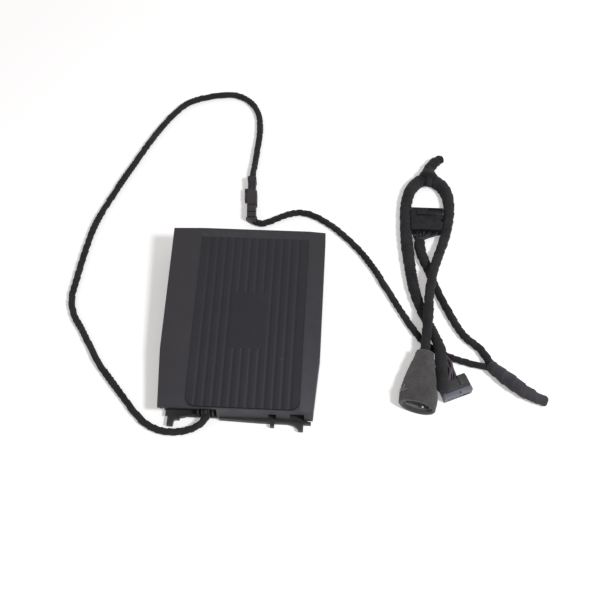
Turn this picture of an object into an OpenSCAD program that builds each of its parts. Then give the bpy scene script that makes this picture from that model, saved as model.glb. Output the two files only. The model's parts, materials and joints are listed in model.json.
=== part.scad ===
// Foot pedal: a hinged, ribbed treadle over a flat base, with a rotary sensor and its taped lead harness.
// X runs across the pedal, Y from heel to toe and Z up. The origin is under the middle, on the floor.

/* [Body] */
// Width across the treadle's skirt
body_w = 130; // [124:1:140]
// Length of the treadle from heel edge to toe edge
body_l = 160; // [156:1:166]
// Height of the treadle's deck at the toe edge
toe_h = 35.5; // [35:0.5:38]
// Height of the treadle's deck at the heel edge
heel_h = 19.5; // [19:0.5:21]
// Drop of each flank from the deck to the outer edge
flank_drop = 1.5; // [1:0.5:4]
// Wall of the treadle shell
shell_wall = 2.6; // [2.2:0.1:2.8]
// How far each side draws in at the heel
heel_taper = 3.5; // [2:0.5:5]
// Length of the drawn-in stretch of each side
taper_l = 50; // [40:1:60]
// How far the heel nose leans forward from its foot to the deck
nose_run = 2; // [1.5:0.5:4]
// Height of the skirt's edge above the floor at the heel
skirt_heel_z = 5; // [5:0.1:5.6]
// Height of the skirt's edge above the floor at the toe, with the treadle pressed
pressed_gap = 4.5; // [3:0.5:5]

/* [Tread pad] */
// Width of the ribbed pad
pad_w = 89.2; // [88:0.2:91]
// Sideways place of the pad's middle
pad_x = 5.6; // [4:0.1:6]
// Thickness of the pad
pad_t = 2.2; // [2:0.1:2.6]
// How far the pad stands proud of the deck
pad_proud = 1.2; // [1:0.1:1.4]
// Plain margin of deck beyond the pad at the toe
toe_margin = 9; // [6:0.5:10]
// Plain margin of deck beyond the pad at the heel
heel_margin = 1.4; // [1:0.1:2]
// Corner radius of the pad at the heel
pad_corner = 7.5; // [5:0.5:9]
// Gap all round the pad in its recess
pad_gap = 0.7; // [0.4:0.1:0.9]
// Number of lengthwise grooves
groove_n = 12; // [10:2:12]
// Distance from groove to groove
groove_pitch = 6.85; // [6.5:0.05:7]
// Width of a groove at the surface
groove_w = 2.8; // [2:0.1:3.2]
// Depth of a groove
groove_deep = 0.8; // [0.6:0.1:1.1]
// Length of the plain patch in the middle
patch_l = 51; // [40:1:60]
// Distance from the pad's heel end to the plain patch
patch_from = 48; // [40:1:54]
// Radius of the pegs under the pad
peg_r = 1.5; // [1.2:0.1:1.8]

/* [Base] */
// Height of the rubber feet below the floor plate
foot_h = 2.2; // [2:0.1:2.4]
// Thickness of the floor plate
floor_t = 2.5; // [2.4:0.1:2.6]
// Wall of the base tray
tray_wall = 2; // [1.6:0.1:2.2]
// Gap between the tray's walls and the treadle's skirt
skirt_gap = 1; // [0.8:0.1:1.2]
// Radius of a rubber foot
foot_r = 6; // [5:0.5:7]
// How far the heel hooks reach behind the heel edge
hook_reach = 8; // [6:0.5:9]
// Thickness of the heel hooks
hook_t = 4.2; // [3.5:0.1:4.2]

/* [Hinge] */
// Radius of the hinge rod
rod_r = 2; // [1.8:0.1:2.1]
// Running clearance of the treadle on the rod
rod_clear = 0.05; // [0.03:0.01:0.1]
// Distance of the rod from the heel edge
rod_from_heel = 10; // [9.5:0.1:10.5]
// Depth of the rod's axis below the deck at the heel edge
rod_drop = 6.5; // [6.2:0.1:6.5]
// Angle that the treadle travels
travel = 4; // [3.5:0.1:4.2]
// Distance of the tray's lugs from the middle
lug_x = 34; // [32:0.5:34.5]
// Thickness of a hinge lug
lug_t = 4; // [3:0.1:4.2]
// Radius of a hinge lug
lug_r = 4; // [3.6:0.1:4]

/* [Return springs] */
// Outer radius of a return spring
spring_r = 6; // [5.5:0.1:6.2]
// Diameter of the spring wire
wire_d = 1.4; // [1.2:0.1:1.5]
// Turns of a return spring
spring_n = 6; // [5:1:6]
// Distance of each spring from the middle
spring_x = 33; // [31:0.5:33]
// Distance of the springs from the hinge
spring_from = 98; // [94:1:104]

/* [Sensor] */
// Distance of the sensor's axis from the hinge
sensor_from = 80; // [78:0.5:84]
// Height of the sensor's axis
sensor_z = 13.5; // [13.5:0.1:14]
// Radius of the sensor's body
sensor_r = 6.5; // [6:0.1:6.6]
// Length of the sensor's body
sensor_t = 8; // [7:0.5:9]
// Turns of the sensor lever for one turn of the treadle
sensor_ratio = 5; // [5:0.1:5.2]
// Radius of the sensor's shaft
shaft_r = 2; // [1.6:0.1:2.2]
// Radius of the lever's pin
pin_r = 1.5; // [1.2:0.1:1.6]
// Play of the lever's pin in the fork's slot
slot_play = 0.25; // [0.2:0.05:0.3]

/* [Circuit board] */
// Length of the circuit board
board_l = 44; // [42:1:46]
// Width of the circuit board
board_w = 32; // [31:0.5:33]
// Thickness of the circuit board
board_t = 1.6; // [1.4:0.1:1.8]
// Height of the bosses under the board
boss_h = 3.3; // [3:0.1:3.4]

/* [Leads] */
// Diameter of the pedal lead and the extension lead
lead_d = 5.6; // [5.4:0.1:5.6]
// Sideways place of the lead's exit
exit_x = -24; // [-25:0.5:-23]
// Height of the lead's axis where it leaves the base
exit_z = 8; // [8:0.05:8.1]
// Diameter of the wrapped trunk lead
trunk_d = 8.2; // [7.8:0.1:8.2]
// Diameter of the flat connector's branch lead
branch_d = 6.5; // [6:0.1:6.5]

/* [Hidden] */
$fn = 48;

// Places along the pedal, with the origin under the middle of treadle and hooks together.
toe_y = (body_l + hook_reach) / 2;
heel_y = toe_y - body_l;
hinge_y = heel_y + rod_from_heel;
rod_z = heel_h - rod_drop;
half_w = body_w / 2;

// The deck's plane, and heights of points that swing with the treadle.
slope = (toe_h - heel_h) / body_l;
tilt = atan(slope);
deck_len = body_l / cos(tilt);
deck_left = pad_x - pad_w / 2 - 1;
deck_right = pad_x + pad_w / 2 + 1;
function deck_z(y) = heel_h + (y - heel_y) * slope;
function under_z(y) = deck_z(y) - shell_wall / cos(tilt);
function drop_at(y) = (y - hinge_y) * sin(travel);
function sum_sq(v) = v * v;
skirt_toe_z = pressed_gap + drop_at(toe_y);
above = toe_h + 20;
below = 6;

// Levels and walls of the base tray.
floor_z = foot_h + floor_t;
tray_in = shell_wall + skirt_gap;
lid_gap = 0.8;
function tray_top(y) = under_z(y) - flank_drop - drop_at(y) - lid_gap;
nose_lean = nose_run / (heel_h - skirt_heel_z);
heel_wall_y = heel_y + tray_in + 1.2;
toe_wall_y = toe_y - tray_in;
fit = 0.3;

// Up-stop legs of the treadle, in windows of the tray's toe wall.
leg_w = 8;
leg_t = 2.4;
leg_x = 18;
barb_h = 2.4;
leg_z = floor_z + drop_at(toe_wall_y) + 0.8;
ledge_z = leg_z + barb_h + fit;
ledge_t = 2;
leg_gap = fit + (ledge_z + ledge_t + drop_at(toe_wall_y) - rod_z) * sin(travel);
gate_half = leg_x + leg_w / 2 + 6;

// Down stops.
bump_r = 4;
bump_h = 4;
bump_x = 24;
bump_from_toe = 22;
bump_y = toe_y - bump_from_toe;
rib_z = floor_z + bump_h + drop_at(bump_y) + fit;

// Hinge.
boss_x = lug_x + lug_t + 0.4;
boss_t = 4.6;
clip_t = 0.8;
clip_r = rod_r + 1.3;
clip_x = boss_x + boss_t + fit;
rod_half = clip_x + clip_t + 1;
heel_wall_top = rod_z - lug_r * 0.7;

// Springs.
spring_y = hinge_y + spring_from;
cup_r = spring_r + 1.4;
cup_h = 2;
seat_z = under_z(spring_y - cup_r) - 1.2;
spring_gap = 0.2;
spring_l = seat_z - floor_z - spring_gap;
spring_pitch = (spring_l - wire_d) / spring_n;
spindle_r = spring_r - wire_d - 0.6;

// Sensor, its lever and the fork that drives it.
sensor_y = hinge_y + sensor_from;
half_swing = sensor_ratio * travel / 2;
lever_r = sensor_from * sin(travel) / (2 * sin(half_swing) - cos(half_swing) * sin(travel));
pin_y = sensor_y + lever_r * cos(half_swing);
pin_z = sensor_z + lever_r * sin(half_swing);
bracket_x = -4;
bracket_t = 1.5;
bracket_h = 15;
nut_t = 2;
bush_r = shaft_r + 1.5;
bush_x = bracket_x + bracket_t + nut_t + 1.5;
lever_x = bush_x + fit;
lever_t = 3;
hub_r = shaft_r + 2;
arm_half = 2.2;
fork_x = lever_x + lever_t + 0.6;
fork_t = 2.5;
slot_half = pin_r + slot_play + 1;
fork_half = slot_half + 2.15;
fork_mid = (pin_y - heel_y) * cos(tilt) + (pin_z - heel_h) * sin(tilt);
fork_low = (pin_z - heel_h) * cos(tilt) - (pin_y - heel_y) * sin(tilt) - pin_r - slot_play - 2.4;
flange_t = 2;
flange_w = 12;
screw_in = 1.3;
fork_screw_r = 1;

// Circuit board and what stands on it.
board_x0 = -42;
board_y0 = hinge_y + 22;
board_z = floor_z + boss_h;
board_top = board_z + board_t;
board_screw_r = 1.1;
hole_in = 3.2;

// The lead's way in.
lead_r = lead_d / 2;
grommet_w = 15;
gate_h = exit_z + lead_r + 1.7;
exit_y = heel_y + 0.5;
fin_t = 1.4;
clamp_y = hinge_y + 10;
clamp_l = 6;
clamp_w = 21;
clamp_top = exit_z + lead_r + 1.5;
lead_end_y = clamp_y + clamp_l + 3;

// Routes of the harness, laid on the floor, each point with its height.
trunk_r = trunk_d / 2;
branch_r = branch_d / 2;
inline_z = 4.5;
pedal_route = [[exit_x, exit_y, exit_z], [exit_x, exit_y - 3.5, exit_z], [-31, -85, 5.4],
    [-43, -88.5, lead_r], [-57, -89, lead_r], [-70, -84.5, lead_r], [-81, -75.5, lead_r], [-93, -62, lead_r],
    [-106, -47, lead_r], [-119, -31.5, lead_r], [-129, -16, lead_r], [-138, -1.5, lead_r],
    [-147.5, 13, lead_r], [-152, 29.5, lead_r], [-151, 47, lead_r], [-149.5, 66, lead_r],
    [-147.5, 84, lead_r], [-145, 101, lead_r], [-140, 119, lead_r], [-133.5, 137, lead_r],
    [-126.5, 155.5, lead_r], [-117, 178, lead_r], [-107.5, 201, lead_r], [-96.5, 223, lead_r],
    [-86, 240, lead_r], [-75, 251.5, lead_r], [-59, 258.5, lead_r], [-42, 262, lead_r],
    [-28, 261.5, lead_r], [-15.5, 254, lead_r], [-6.5, 240, lead_r], [-3.5, 221, lead_r],
    [-3.8, 201, 3.2], [-4.7, 181, 4.1], [-6, 160.8, inline_z]];
extension_route = [[-1.6, 119, inline_z], [-0.6, 115.2, 4.3], [2.2, 112.6, 3.7], [6.4, 112.2, 3.1],
    [11.8, 114, lead_r], [17.9, 117.2, lead_r], [24.1, 120.5, lead_r], [31.5, 123.8, lead_r],
    [42, 125.5, lead_r], [56, 121, lead_r], [74, 108.5, lead_r], [92.5, 90, lead_r],
    [107, 70.5, lead_r], [118.5, 50.5, lead_r], [130, 30.5, lead_r], [141.5, 11.5, lead_r],
    [150.5, -0.5, lead_r], [161.5, -8.5, lead_r], [175, -14.5, lead_r], [191, -19, lead_r],
    [206, -22.5, 4]];
trunk_route = [[150.5, -14.5, 9.8], [151.1, -7, 10.1], [152.2, 4, 11], [153.2, 18, 12.8],
    [155, 42, 11.8], [158.8, 65, 11.2], [164.3, 84, 7.2], [168.8, 99, 4.6], [171.6, 111, trunk_r],
    [173.7, 124, trunk_r], [174.4, 136, trunk_r], [173.4, 147, trunk_r], [169.8, 156.4, trunk_r],
    [163.6, 162.8, trunk_r], [156, 165.6, trunk_r], [148, 163.2, trunk_r], [141.6, 156.4, trunk_r],
    [137.8, 147, trunk_r], [135.4, 131, trunk_r], [135.8, 108, trunk_r], [138.2, 80, trunk_r],
    [142, 53, trunk_r], [147, 34, trunk_r], [154, 17, trunk_r], [160.6, -1, 8.2],
    [163, -12, 10.4], [163.4, -24, 10.8], [164, -36, 12], [164.8, -48.5, 13.2]];
branch_route = [[147.4, 99.5, 4], [148.9, 88, branch_r], [153.8, 73.5, branch_r], [161.6, 51.5, branch_r],
    [171.5, 29, branch_r], [183, 8, branch_r], [197, -5.5, branch_r], [205.5, -20, 4.6]];
splice_route = [[203, -19.5, 5], [211, -27, 5.6], [220, -34.5, 6], [230, -42, 5.4], [239.5, -47, 4.6],
    [246.5, -49.8, 4.2], [248.5, -50.6, 4.2]];
splice_radii = [4.6, 5.4, 6, 5.4, 4.5, 4.1, 2.9];
tie_route = [[156.4, 158, 4.6], [156, 166, 5.2], [156.2, 174, 4.6], [158.8, 181.5, 4], [164.5, 188, 3.8],
    [170.5, 192.8, 3.2]];
tie_radii = [4.2, 5, 4.2, 3.8, 3.6, 2.8];

// Frames of the pieces on the harness: place on the floor and heading of each.
inline_at = [-6, 160.8];
inline_turn = 3.8;
plug_at = [150.4, -14];
plug_turn = -8;
flat_at = [153.25, 119.8];
multi_at = [175, -42.5];
multi_turn = 24;

function unit(v) = v / sqrt(sum_sq(v));
function along(p, i) = unit(p[min(i + 1, len(p) - 1)] - p[max(i - 1, 0)]);
function ring(p, i, r, n) =
    let (t = along(p, i), s = unit(cross(t, [0, 0, 1])), u = cross(s, t))
    [for (k = [0:n - 1]) p[i] + r * (cos(360 * k / n) * s + sin(360 * k / n) * u)];
function skin(m, n) = [
    [for (k = [n - 1:-1:0]) k],
    for (i = [0:m - 2], k = [0:n - 1])
        let (a = i * n + k, b = i * n + (k + 1) % n)
        each [[a, b, b + n], [a, b + n, a + n]],
    [for (k = [0:n - 1]) (m - 1) * n + k]
];

// A tube along route, with one radius or a list of them, and n sides.
module sweep(route, radii, n) {
    m = len(route);
    rs = is_list(radii) ? radii : [for (p = route) radii];
    points = [for (i = [0:m - 1]) each ring(route, i, rs[i], n)];
    polyhedron(points, skin(m, n));
}

// A straight round rod between two points.
module rod_between(a, b, r) {
    d = b - a;
    l = norm(d);
    translate(a)
        rotate([0, acos(d[2] / l), atan2(d[1], d[0])])
            cylinder(r = r, h = l, $fn = 16);
}

// A pan-head screw pointing down, its head's underside at z = 0.
module screw(shank_r, length) {
    head_h = shank_r * 1.2;
    difference() {
        union() {
            cylinder(r = shank_r * 1.9, h = head_h, $fn = 32);
            translate([0, 0, -length]) cylinder(r = shank_r, h = length, $fn = 32);
        }
        for (a = [0, 90])
            rotate(a)
                translate([-shank_r * 1.1, -shank_r * 0.2, head_h * 0.5])
                    cube([shank_r * 2.2, shank_r * 0.4, head_h]);
    }
}

// Puts its children on the deck's plane: Y runs up the slope from the heel edge, Z square to the deck.
module on_deck(z = 0) {
    translate([0, heel_y, heel_h])
        rotate([tilt, 0, 0])
            translate([0, 0, z])
                children();
}

// Plan outline of the treadle, drawn in by inset.
module plan(inset) {
    w = half_w - inset;
    polygon([[-w, toe_y - inset], [-w, heel_y + taper_l], [-w + heel_taper, heel_y],
        [w - heel_taper, heel_y], [w, heel_y + taper_l], [w, toe_y - inset]]);
}

// Everything under the deck and flanks, lowered by inset and long enough to be cut by the plan.
module under_deck(inset) {
    on_deck()
        translate([0, deck_len + below, 0])
            rotate([90, 0, 0])
                linear_extrude(height = deck_len + 2 * below)
                    polygon([[-half_w, -flank_drop - inset], [deck_left, -inset], [deck_right, -inset],
                        [half_w, -flank_drop - inset], [half_w, -above], [-half_w, -above]]);
}

// Side profile of the treadle between nose and toe, its skirt edge lowered by drop.
module side_profile(inset, drop) {
    back = heel_y + inset;
    rotate([90, 0, 90])
        linear_extrude(height = 2 * body_w, center = true)
            polygon([[back - drop * nose_lean, skirt_heel_z - drop], [toe_y - inset, skirt_toe_z - drop],
                [toe_y - inset, above], [back + (above - skirt_heel_z) * nose_lean, above]]);
}

module treadle_block(inset, drop) {
    intersection() {
        translate([0, 0, -below]) linear_extrude(height = above + below) plan(inset);
        under_deck(inset);
        side_profile(inset, drop);
    }
}

// Pad outline with two round heel corners, grown by grow; its heel end is at y = heel_margin.
pad_len = deck_len - toe_margin - heel_margin - nose_run;
pad_y = heel_margin + nose_run;
module pad_outline(grow) {
    w = pad_w + 2 * grow;
    l = pad_len + 2 * grow;
    r = pad_corner + grow;
    translate([pad_x - w / 2, pad_y - grow]) {
        translate([0, r]) square([w, l - r]);
        translate([r, 0]) square([w - 2 * r, r + 1]);
        for (x = [r, w - r]) translate([x, r]) circle(r = r, $fn = 64);
    }
}

peg_play = 0.05;
peg_spots = [for (x = [-1, 1], f = [0.1, 0.5, 0.9]) [pad_x + x * groove_pitch * 5, pad_y + pad_len * f]];

// A box-shaped way through the heel nose, up to the given height and never through the deck or flanks.
module nose_window(x0, x1, top) {
    intersection() {
        translate([x0, heel_y - 1, -1]) cube([x1 - x0, nose_run + shell_wall + 1.5, top + 1]);
        under_deck(shell_wall);
    }
}

// Sideways limits of the three heel windows, which the hooks and the grommet stand in.
left_window = [-half_w, -15];
mid_window = [26.2, 32.2];
right_window = [43.5, 54.5];
mid_window_h = 13;
right_window_h = 14.5;

module treadle_shell() {
    color([0.16, 0.16, 0.17])
        difference() {
            union() {
                difference() {
                    treadle_block(0, 0);
                    treadle_block(shell_wall, below);
                }
                intersection() {
                    treadle_block(shell_wall / 2, above);
                    union() {
                        hinge_bosses();
                        stop_legs();
                        stop_ribs();
                        spring_seats();
                    }
                }
            }
            on_deck(pad_proud - pad_t) linear_extrude(height = pad_t + 1) pad_outline(pad_gap);
            on_deck(-shell_wall - 1)
                for (p = peg_spots) translate(p) cylinder(r = peg_r + peg_play, h = shell_wall + 2);
            nose_window(left_window[0], left_window[1], above);
            nose_window(mid_window[0], mid_window[1], mid_window_h);
            nose_window(right_window[0], right_window[1], right_window_h);
            for (s = [-1, 1])
                translate([s * (boss_x + boss_t / 2), hinge_y, rod_z])
                    rotate([0, 90, 0])
                        cylinder(r = rod_r + rod_clear, h = boss_t + 2, center = true);
            fork_screw_spots()
                translate([0, 0, -0.1])
                    cylinder(r = fork_screw_r, h = screw_in + 0.2, $fn = 32);
        }
}

module hinge_bosses() {
    for (s = [-1, 1])
        translate([s * (boss_x + boss_t / 2), hinge_y, rod_z]) {
            rotate([0, 90, 0]) cylinder(r = lug_r, h = boss_t, center = true);
            translate([-boss_t / 2, -lug_r, 0]) cube([boss_t, 2 * lug_r, above]);
        }
}

module stop_legs() {
    front = toe_wall_y - tray_wall - leg_gap;
    for (s = [-1, 1])
        translate([s * leg_x - leg_w / 2, 0, leg_z]) {
            translate([0, front - leg_t, 0]) cube([leg_w, leg_t, above]);
            translate([0, front - leg_t, 0]) cube([leg_w, leg_t + leg_gap + tray_wall * 0.75, barb_h]);
        }
}

module stop_ribs() {
    for (s = [-1, 1])
        translate([s * bump_x - 1.5, bump_y - bump_r, rib_z])
            cube([3, 2 * bump_r, above]);
}

module spring_seats() {
    for (s = [-1, 1])
        translate([s * spring_x, spring_y, seat_z]) {
            cylinder(r = cup_r, h = above);
            translate([0, 0, -3]) cylinder(r = spindle_r, h = 4);
        }
}

module tread_pad() {
    ball = (groove_w * groove_w / 4 + groove_deep * groove_deep) / (2 * groove_deep);
    half_patch = groove_pitch * 2.5;
    color([0.13, 0.13, 0.14])
        on_deck(pad_proud - pad_t)
            difference() {
                union() {
                    linear_extrude(height = pad_t) pad_outline(0);
                    for (p = peg_spots)
                        translate([p[0], p[1], -shell_wall])
                            cylinder(r = peg_r, h = shell_wall + 0.5);
                }
                for (i = [0:groove_n - 1]) {
                    off = (i - (groove_n - 1) / 2) * groove_pitch;
                    translate([pad_x + off, 0, pad_t - groove_deep + ball])
                        if (abs(off) < half_patch) {
                            groove(ball, pad_y - 2, pad_y + patch_from);
                            groove(ball, pad_y + patch_from + patch_l, deck_len);
                        } else {
                            groove(ball, pad_y - 2, deck_len);
                        }
                }
            }
}

module groove(r, from, to) {
    translate([0, to, 0])
        rotate([90, 0, 0])
            cylinder(r = r, h = to - from, $fn = 32);
}

// An angle section under the deck, with the slot for the lever's pin; its slot is level at rest.
module drive_fork() {
    color([0.85, 0.84, 0.8])
        difference() {
            on_deck()
                translate([fork_x, fork_mid + fork_half, 0])
                    rotate([90, 0, 0])
                        linear_extrude(height = 2 * fork_half)
                            fork_section();
            translate([fork_x - 1, pin_y - slot_half, pin_z - pin_r - slot_play])
                cube([fork_t + 2, 2 * slot_half, 2 * (pin_r + slot_play)]);
            fork_screw_spots()
                translate([0, 0, -flange_t - 1])
                    cylinder(r = fork_screw_r, h = flange_t + 2, $fn = 32);
        }
}

module fork_section() {
    flange_z = -shell_wall - flange_t;
    polygon([[0, -shell_wall], [flange_w, -shell_wall], [flange_w, flange_z],
        [fork_t, flange_z], [fork_t, fork_low], [0, fork_low]]);
}

module fork_screw_spots() {
    for (side = [-1, 1])
        on_deck(-shell_wall)
            translate([fork_x + (flange_w + fork_t) / 2, fork_mid + side * fork_half / 2, 0])
                children();
}

module fork_screws() {
    color("silver")
        fork_screw_spots()
            rotate([180, 0, 0])
                translate([0, 0, flange_t])
                    screw(fork_screw_r, flange_t + screw_in);
}

module base_tray() {
    color([0.12, 0.12, 0.13])
        difference() {
            union() {
                tray_floor();
                tray_walls();
                toe_gate();
                grommet_gate();
                tray_bosses();
                heel_hooks();
            }
            for (p = foot_spots) translate([p[0], p[1], foot_h - 1]) cylinder(r = foot_r, h = 1.8);
            for (s = [-1, 1])
                translate([s * leg_x - leg_w / 2 - 1, toe_wall_y - tray_wall - 1, floor_z])
                    cube([leg_w + 2, tray_wall + 2, ledge_z - floor_z]);
            translate([exit_x - grommet_w / 2, heel_wall_y - 1, floor_z])
                cube([grommet_w, tray_wall + 2, above]);
            for (s = [-1, 1])
                translate([s * (lug_x + lug_t / 2), hinge_y, rod_z])
                    rotate([0, 90, 0])
                        cylinder(r = rod_r, h = lug_t + 2, center = true);
            for (p = board_spots)
                translate([p[0], p[1], floor_z - 1])
                    cylinder(r = board_screw_r, h = boss_h + 2, $fn = 32);
            for (p = concat(clamp_spots, bracket_spots))
                translate([p[0], p[1], foot_h - 1])
                    cylinder(r = 1.2, h = floor_t + 2, $fn = 32);
        }
}

module tray_floor() {
    translate([0, 0, foot_h])
        linear_extrude(height = floor_t)
            intersection() {
                plan(tray_in);
                translate([-body_w, heel_wall_y]) square([2 * body_w, body_l]);
            }
    lip_half = half_w - heel_taper - shell_wall - 1.9;
    translate([-lip_half, heel_y, foot_h]) cube([2 * lip_half, heel_wall_y - heel_y + 1, floor_t]);
}

module tray_walls() {
    step_y = heel_wall_y + tray_wall;
    toe_top = tray_top(toe_wall_y);
    intersection() {
        translate([0, 0, foot_h])
            linear_extrude(height = above)
                difference() {
                    intersection() {
                        plan(tray_in);
                        translate([-body_w, heel_wall_y]) square([2 * body_w, body_l]);
                    }
                    intersection() {
                        plan(tray_in + tray_wall);
                        translate([-body_w, heel_wall_y + tray_wall]) square([2 * body_w, body_l]);
                    }
                }
        rotate([90, 0, 90])
            linear_extrude(height = 2 * body_w, center = true)
                polygon([[heel_wall_y - 1, 0], [toe_wall_y + 1, 0], [toe_wall_y + 1, toe_top], [toe_wall_y, toe_top],
                    [step_y, tray_top(step_y)], [step_y, heel_wall_top], [heel_wall_y - 1, heel_wall_top]]);
    }
}

// Raised middle of the toe wall, with a ledge over the stop legs' barbs.
module toe_gate() {
    translate([-gate_half, toe_wall_y - tray_wall, foot_h])
        cube([2 * gate_half, tray_wall, ledge_z + ledge_t - foot_h]);
}

// Raised stretch of the heel wall round the grommet.
module grommet_gate() {
    translate([exit_x - grommet_w / 2 - 2, heel_wall_y, foot_h])
        cube([grommet_w + 4, tray_wall, gate_h - foot_h]);
}

foot_in = 13;
foot_spots = [for (x = [-1, 1], y = [heel_y + 14, toe_y - 14]) [x * (half_w - heel_taper - foot_in), y]];
board_spots = [for (x = [hole_in, board_w - hole_in], y = [hole_in, board_l - hole_in])
    [board_x0 + x, board_y0 + y]];
clamp_spots = [for (s = [-1, 1]) [exit_x + s * (clamp_w / 2 - 3), clamp_y + clamp_l / 2]];
bracket_spots = [for (y = [-6, 6]) [bracket_x - 5, sensor_y + y]];

module tray_bosses() {
    for (s = [-1, 1])
        translate([s * (lug_x + lug_t / 2), hinge_y, rod_z]) {
            rotate([0, 90, 0]) cylinder(r = lug_r, h = lug_t, center = true);
            translate([-lug_t / 2, -lug_r, foot_h - rod_z]) cube([lug_t, 2 * lug_r, rod_z - foot_h]);
        }
    for (s = [-1, 1])
        translate([s * spring_x, spring_y, foot_h])
            difference() {
                cylinder(r = cup_r, h = floor_t + cup_h);
                translate([0, 0, floor_t]) cylinder(r = spring_r + 0.3, h = cup_h + 1);
            }
    for (p = board_spots) translate([p[0], p[1], foot_h]) cylinder(r = 2.6, h = floor_t + boss_h);
}

// Plan outlines of the heel hooks and of the lip between them, from the heel edge at y = 0.
hook_tip = -hook_reach;
left_hook = [[-55, 1], [-55, hook_tip], [-50.5, hook_tip], [-50, -3.5], [-47, -1.2], [-41, 0], [-41, 1]];
left_foot = [[-48.5, 1], [-48.5, -2.6], [-45.5, -2.6], [-45.5, 1]];
middle_hook = [[27.6, 1], [27.6, -5.5], [30.8, -5.5], [30.8, 1]];
right_hook = [[40, 1], [40, -2], [46, -3.2], [49.5, -5.6], [50.2, hook_tip], [54, hook_tip], [54, 1]];
heel_lip = [[-13.5, 1], [-13.5, -1], [20, -2.2], [60, -2.2], [60, -0.3], [56, -0.3], [56, 1]];

// Two long hooks with gusset webs, a small foot beside the left one, a small middle hook and the lip.
module heel_hooks() {
    translate([0, heel_y, floor_z - hook_t])
        linear_extrude(height = hook_t)
            for (outline = [left_hook, left_foot, middle_hook, right_hook, heel_lip])
                polygon(outline);
}

module rubber_feet() {
    color([0.2, 0.2, 0.2])
        for (p = foot_spots) translate([p[0], p[1], 0]) cylinder(r = foot_r, h = foot_h + 0.8);
}

module hinge_rod() {
    color("silver")
        translate([0, hinge_y, rod_z])
            rotate([0, 90, 0])
                cylinder(r = rod_r, h = 2 * rod_half, center = true);
}

module rod_clips() {
    color([0.3, 0.3, 0.32])
        for (s = [-1, 1])
            translate([s * (clip_x + clip_t / 2), hinge_y, rod_z])
                rotate([0, 90, 0])
                    difference() {
                        cylinder(r = clip_r, h = clip_t, center = true);
                        cylinder(r = rod_r, h = 1 + clip_t, center = true);
                        translate([0, clip_r, 0]) cube([rod_r * 1.2, clip_r * 2, 1 + clip_t], center = true);
                    }
}

// Points along a return spring's wire.
coil_steps = 8;
function coil_rise(a) = wire_d / 2 + a / 360 * spring_pitch;
function coil_points() = [for (i = [0:spring_n * coil_steps])
    let (a = i * 360 / coil_steps, r = spring_r - wire_d / 2)
    [r * cos(a), r * sin(a), coil_rise(a)]];
coil_gap = min([for (i = [0:len(coil_points()) - 1], j = [i + coil_steps / 2:len(coil_points()) - 1])
    norm(coil_points()[i] - coil_points()[j])]) - wire_d;
echo(least_gap_in_return_spring = coil_gap);

module return_spring(side) {
    color("silver")
        translate([side * spring_x, spring_y, floor_z])
            sweep(coil_points(), wire_d / 2, 6);
}

module return_spring_left() {
    return_spring(-1);
}

module return_spring_right() {
    return_spring(1);
}

module bump_stops() {
    color([0.25, 0.25, 0.25])
        for (s = [-1, 1]) translate([s * bump_x, bump_y, floor_z]) cylinder(r = bump_r, h = bump_h);
}

module circuit_board() {
    color([0.1, 0.35, 0.2])
        difference() {
            translate([board_x0, board_y0, board_z]) cube([board_w, board_l, board_t]);
            for (p = board_spots)
                translate([p[0], p[1], board_z - 1])
                    cylinder(r = board_screw_r, h = board_t + 2, $fn = 32);
        }
}

module board_screws() {
    color("silver")
        for (p = board_spots)
            translate([p[0], p[1], board_top])
                screw(board_screw_r, board_t + boss_h - 0.3);
}

header_l = 10;
module lead_header() {
    color([0.92, 0.91, 0.86])
        translate([board_x0 + board_w / 2 - header_l / 2, board_y0 + 1, board_top])
            difference() {
                cube([header_l, 6, 6]);
                translate([1, -1, 1]) cube([header_l - 2, 2, 4]);
            }
}

module filter_capacitor() {
    color([0.15, 0.2, 0.4])
        translate([board_x0 + board_w - 9, board_y0 + board_l / 2, board_top]) {
            cylinder(r = 4, h = 7.2);
            translate([0, 0, 7.2]) cylinder(r = 3.4, h = 0.5);
        }
}

module control_chip() {
    color([0.1, 0.1, 0.1])
        translate([board_x0 + 9, board_y0 + board_l - 18, board_top]) {
            translate([0, 0, 0.4]) cube([6, 10, 1.8]);
            for (x = [-1, 6], i = [0:3]) translate([x, 1 + i * 2.4, 0]) cube([1, 0.8, 1.2]);
        }
}

module power_transistor() {
    color([0.2, 0.2, 0.22])
        translate([board_x0 + 5, board_y0 + 13, board_top]) {
            cube([10, 4.4, 6.4]);
            translate([0, 0, 6.4]) cube([10, 1.2, 1.4]);
        }
}

module resistors() {
    color([0.75, 0.6, 0.42])
        for (i = [0:3])
            translate([board_x0 + board_w - 13, board_y0 + board_l - 14 + i * 2.8, board_top + 1])
                rotate([0, 90, 0]) {
                    cylinder(r = 1, h = 6, $fn = 24);
                    translate([0, 0, -1.2]) cylinder(r = 0.4, h = 8.4, $fn = 16);
                    for (z = [-1, 7]) translate([-0.3, -0.3, z - 0.3]) cube([1.3, 0.6, 0.6]);
                }
}

module sensor_bracket() {
    color("silver")
        difference() {
            union() {
                translate([bracket_x, sensor_y - 9, floor_z]) cube([bracket_t, 18, bracket_h]);
                translate([bracket_x - 8, sensor_y - 9, floor_z]) cube([8, 18, 1.2]);
            }
            translate([bracket_x - 1, sensor_y, sensor_z])
                rotate([0, 90, 0])
                    cylinder(r = bush_r, h = bracket_t + 2);
            for (p = bracket_spots) translate([p[0], p[1], floor_z - 1]) cylinder(r = 1.2, h = 4, $fn = 32);
        }
}

module bracket_screws() {
    color("silver")
        for (p = bracket_spots) translate([p[0], p[1], floor_z + 1.2]) screw(1.2, floor_t + 0.7);
}

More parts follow.
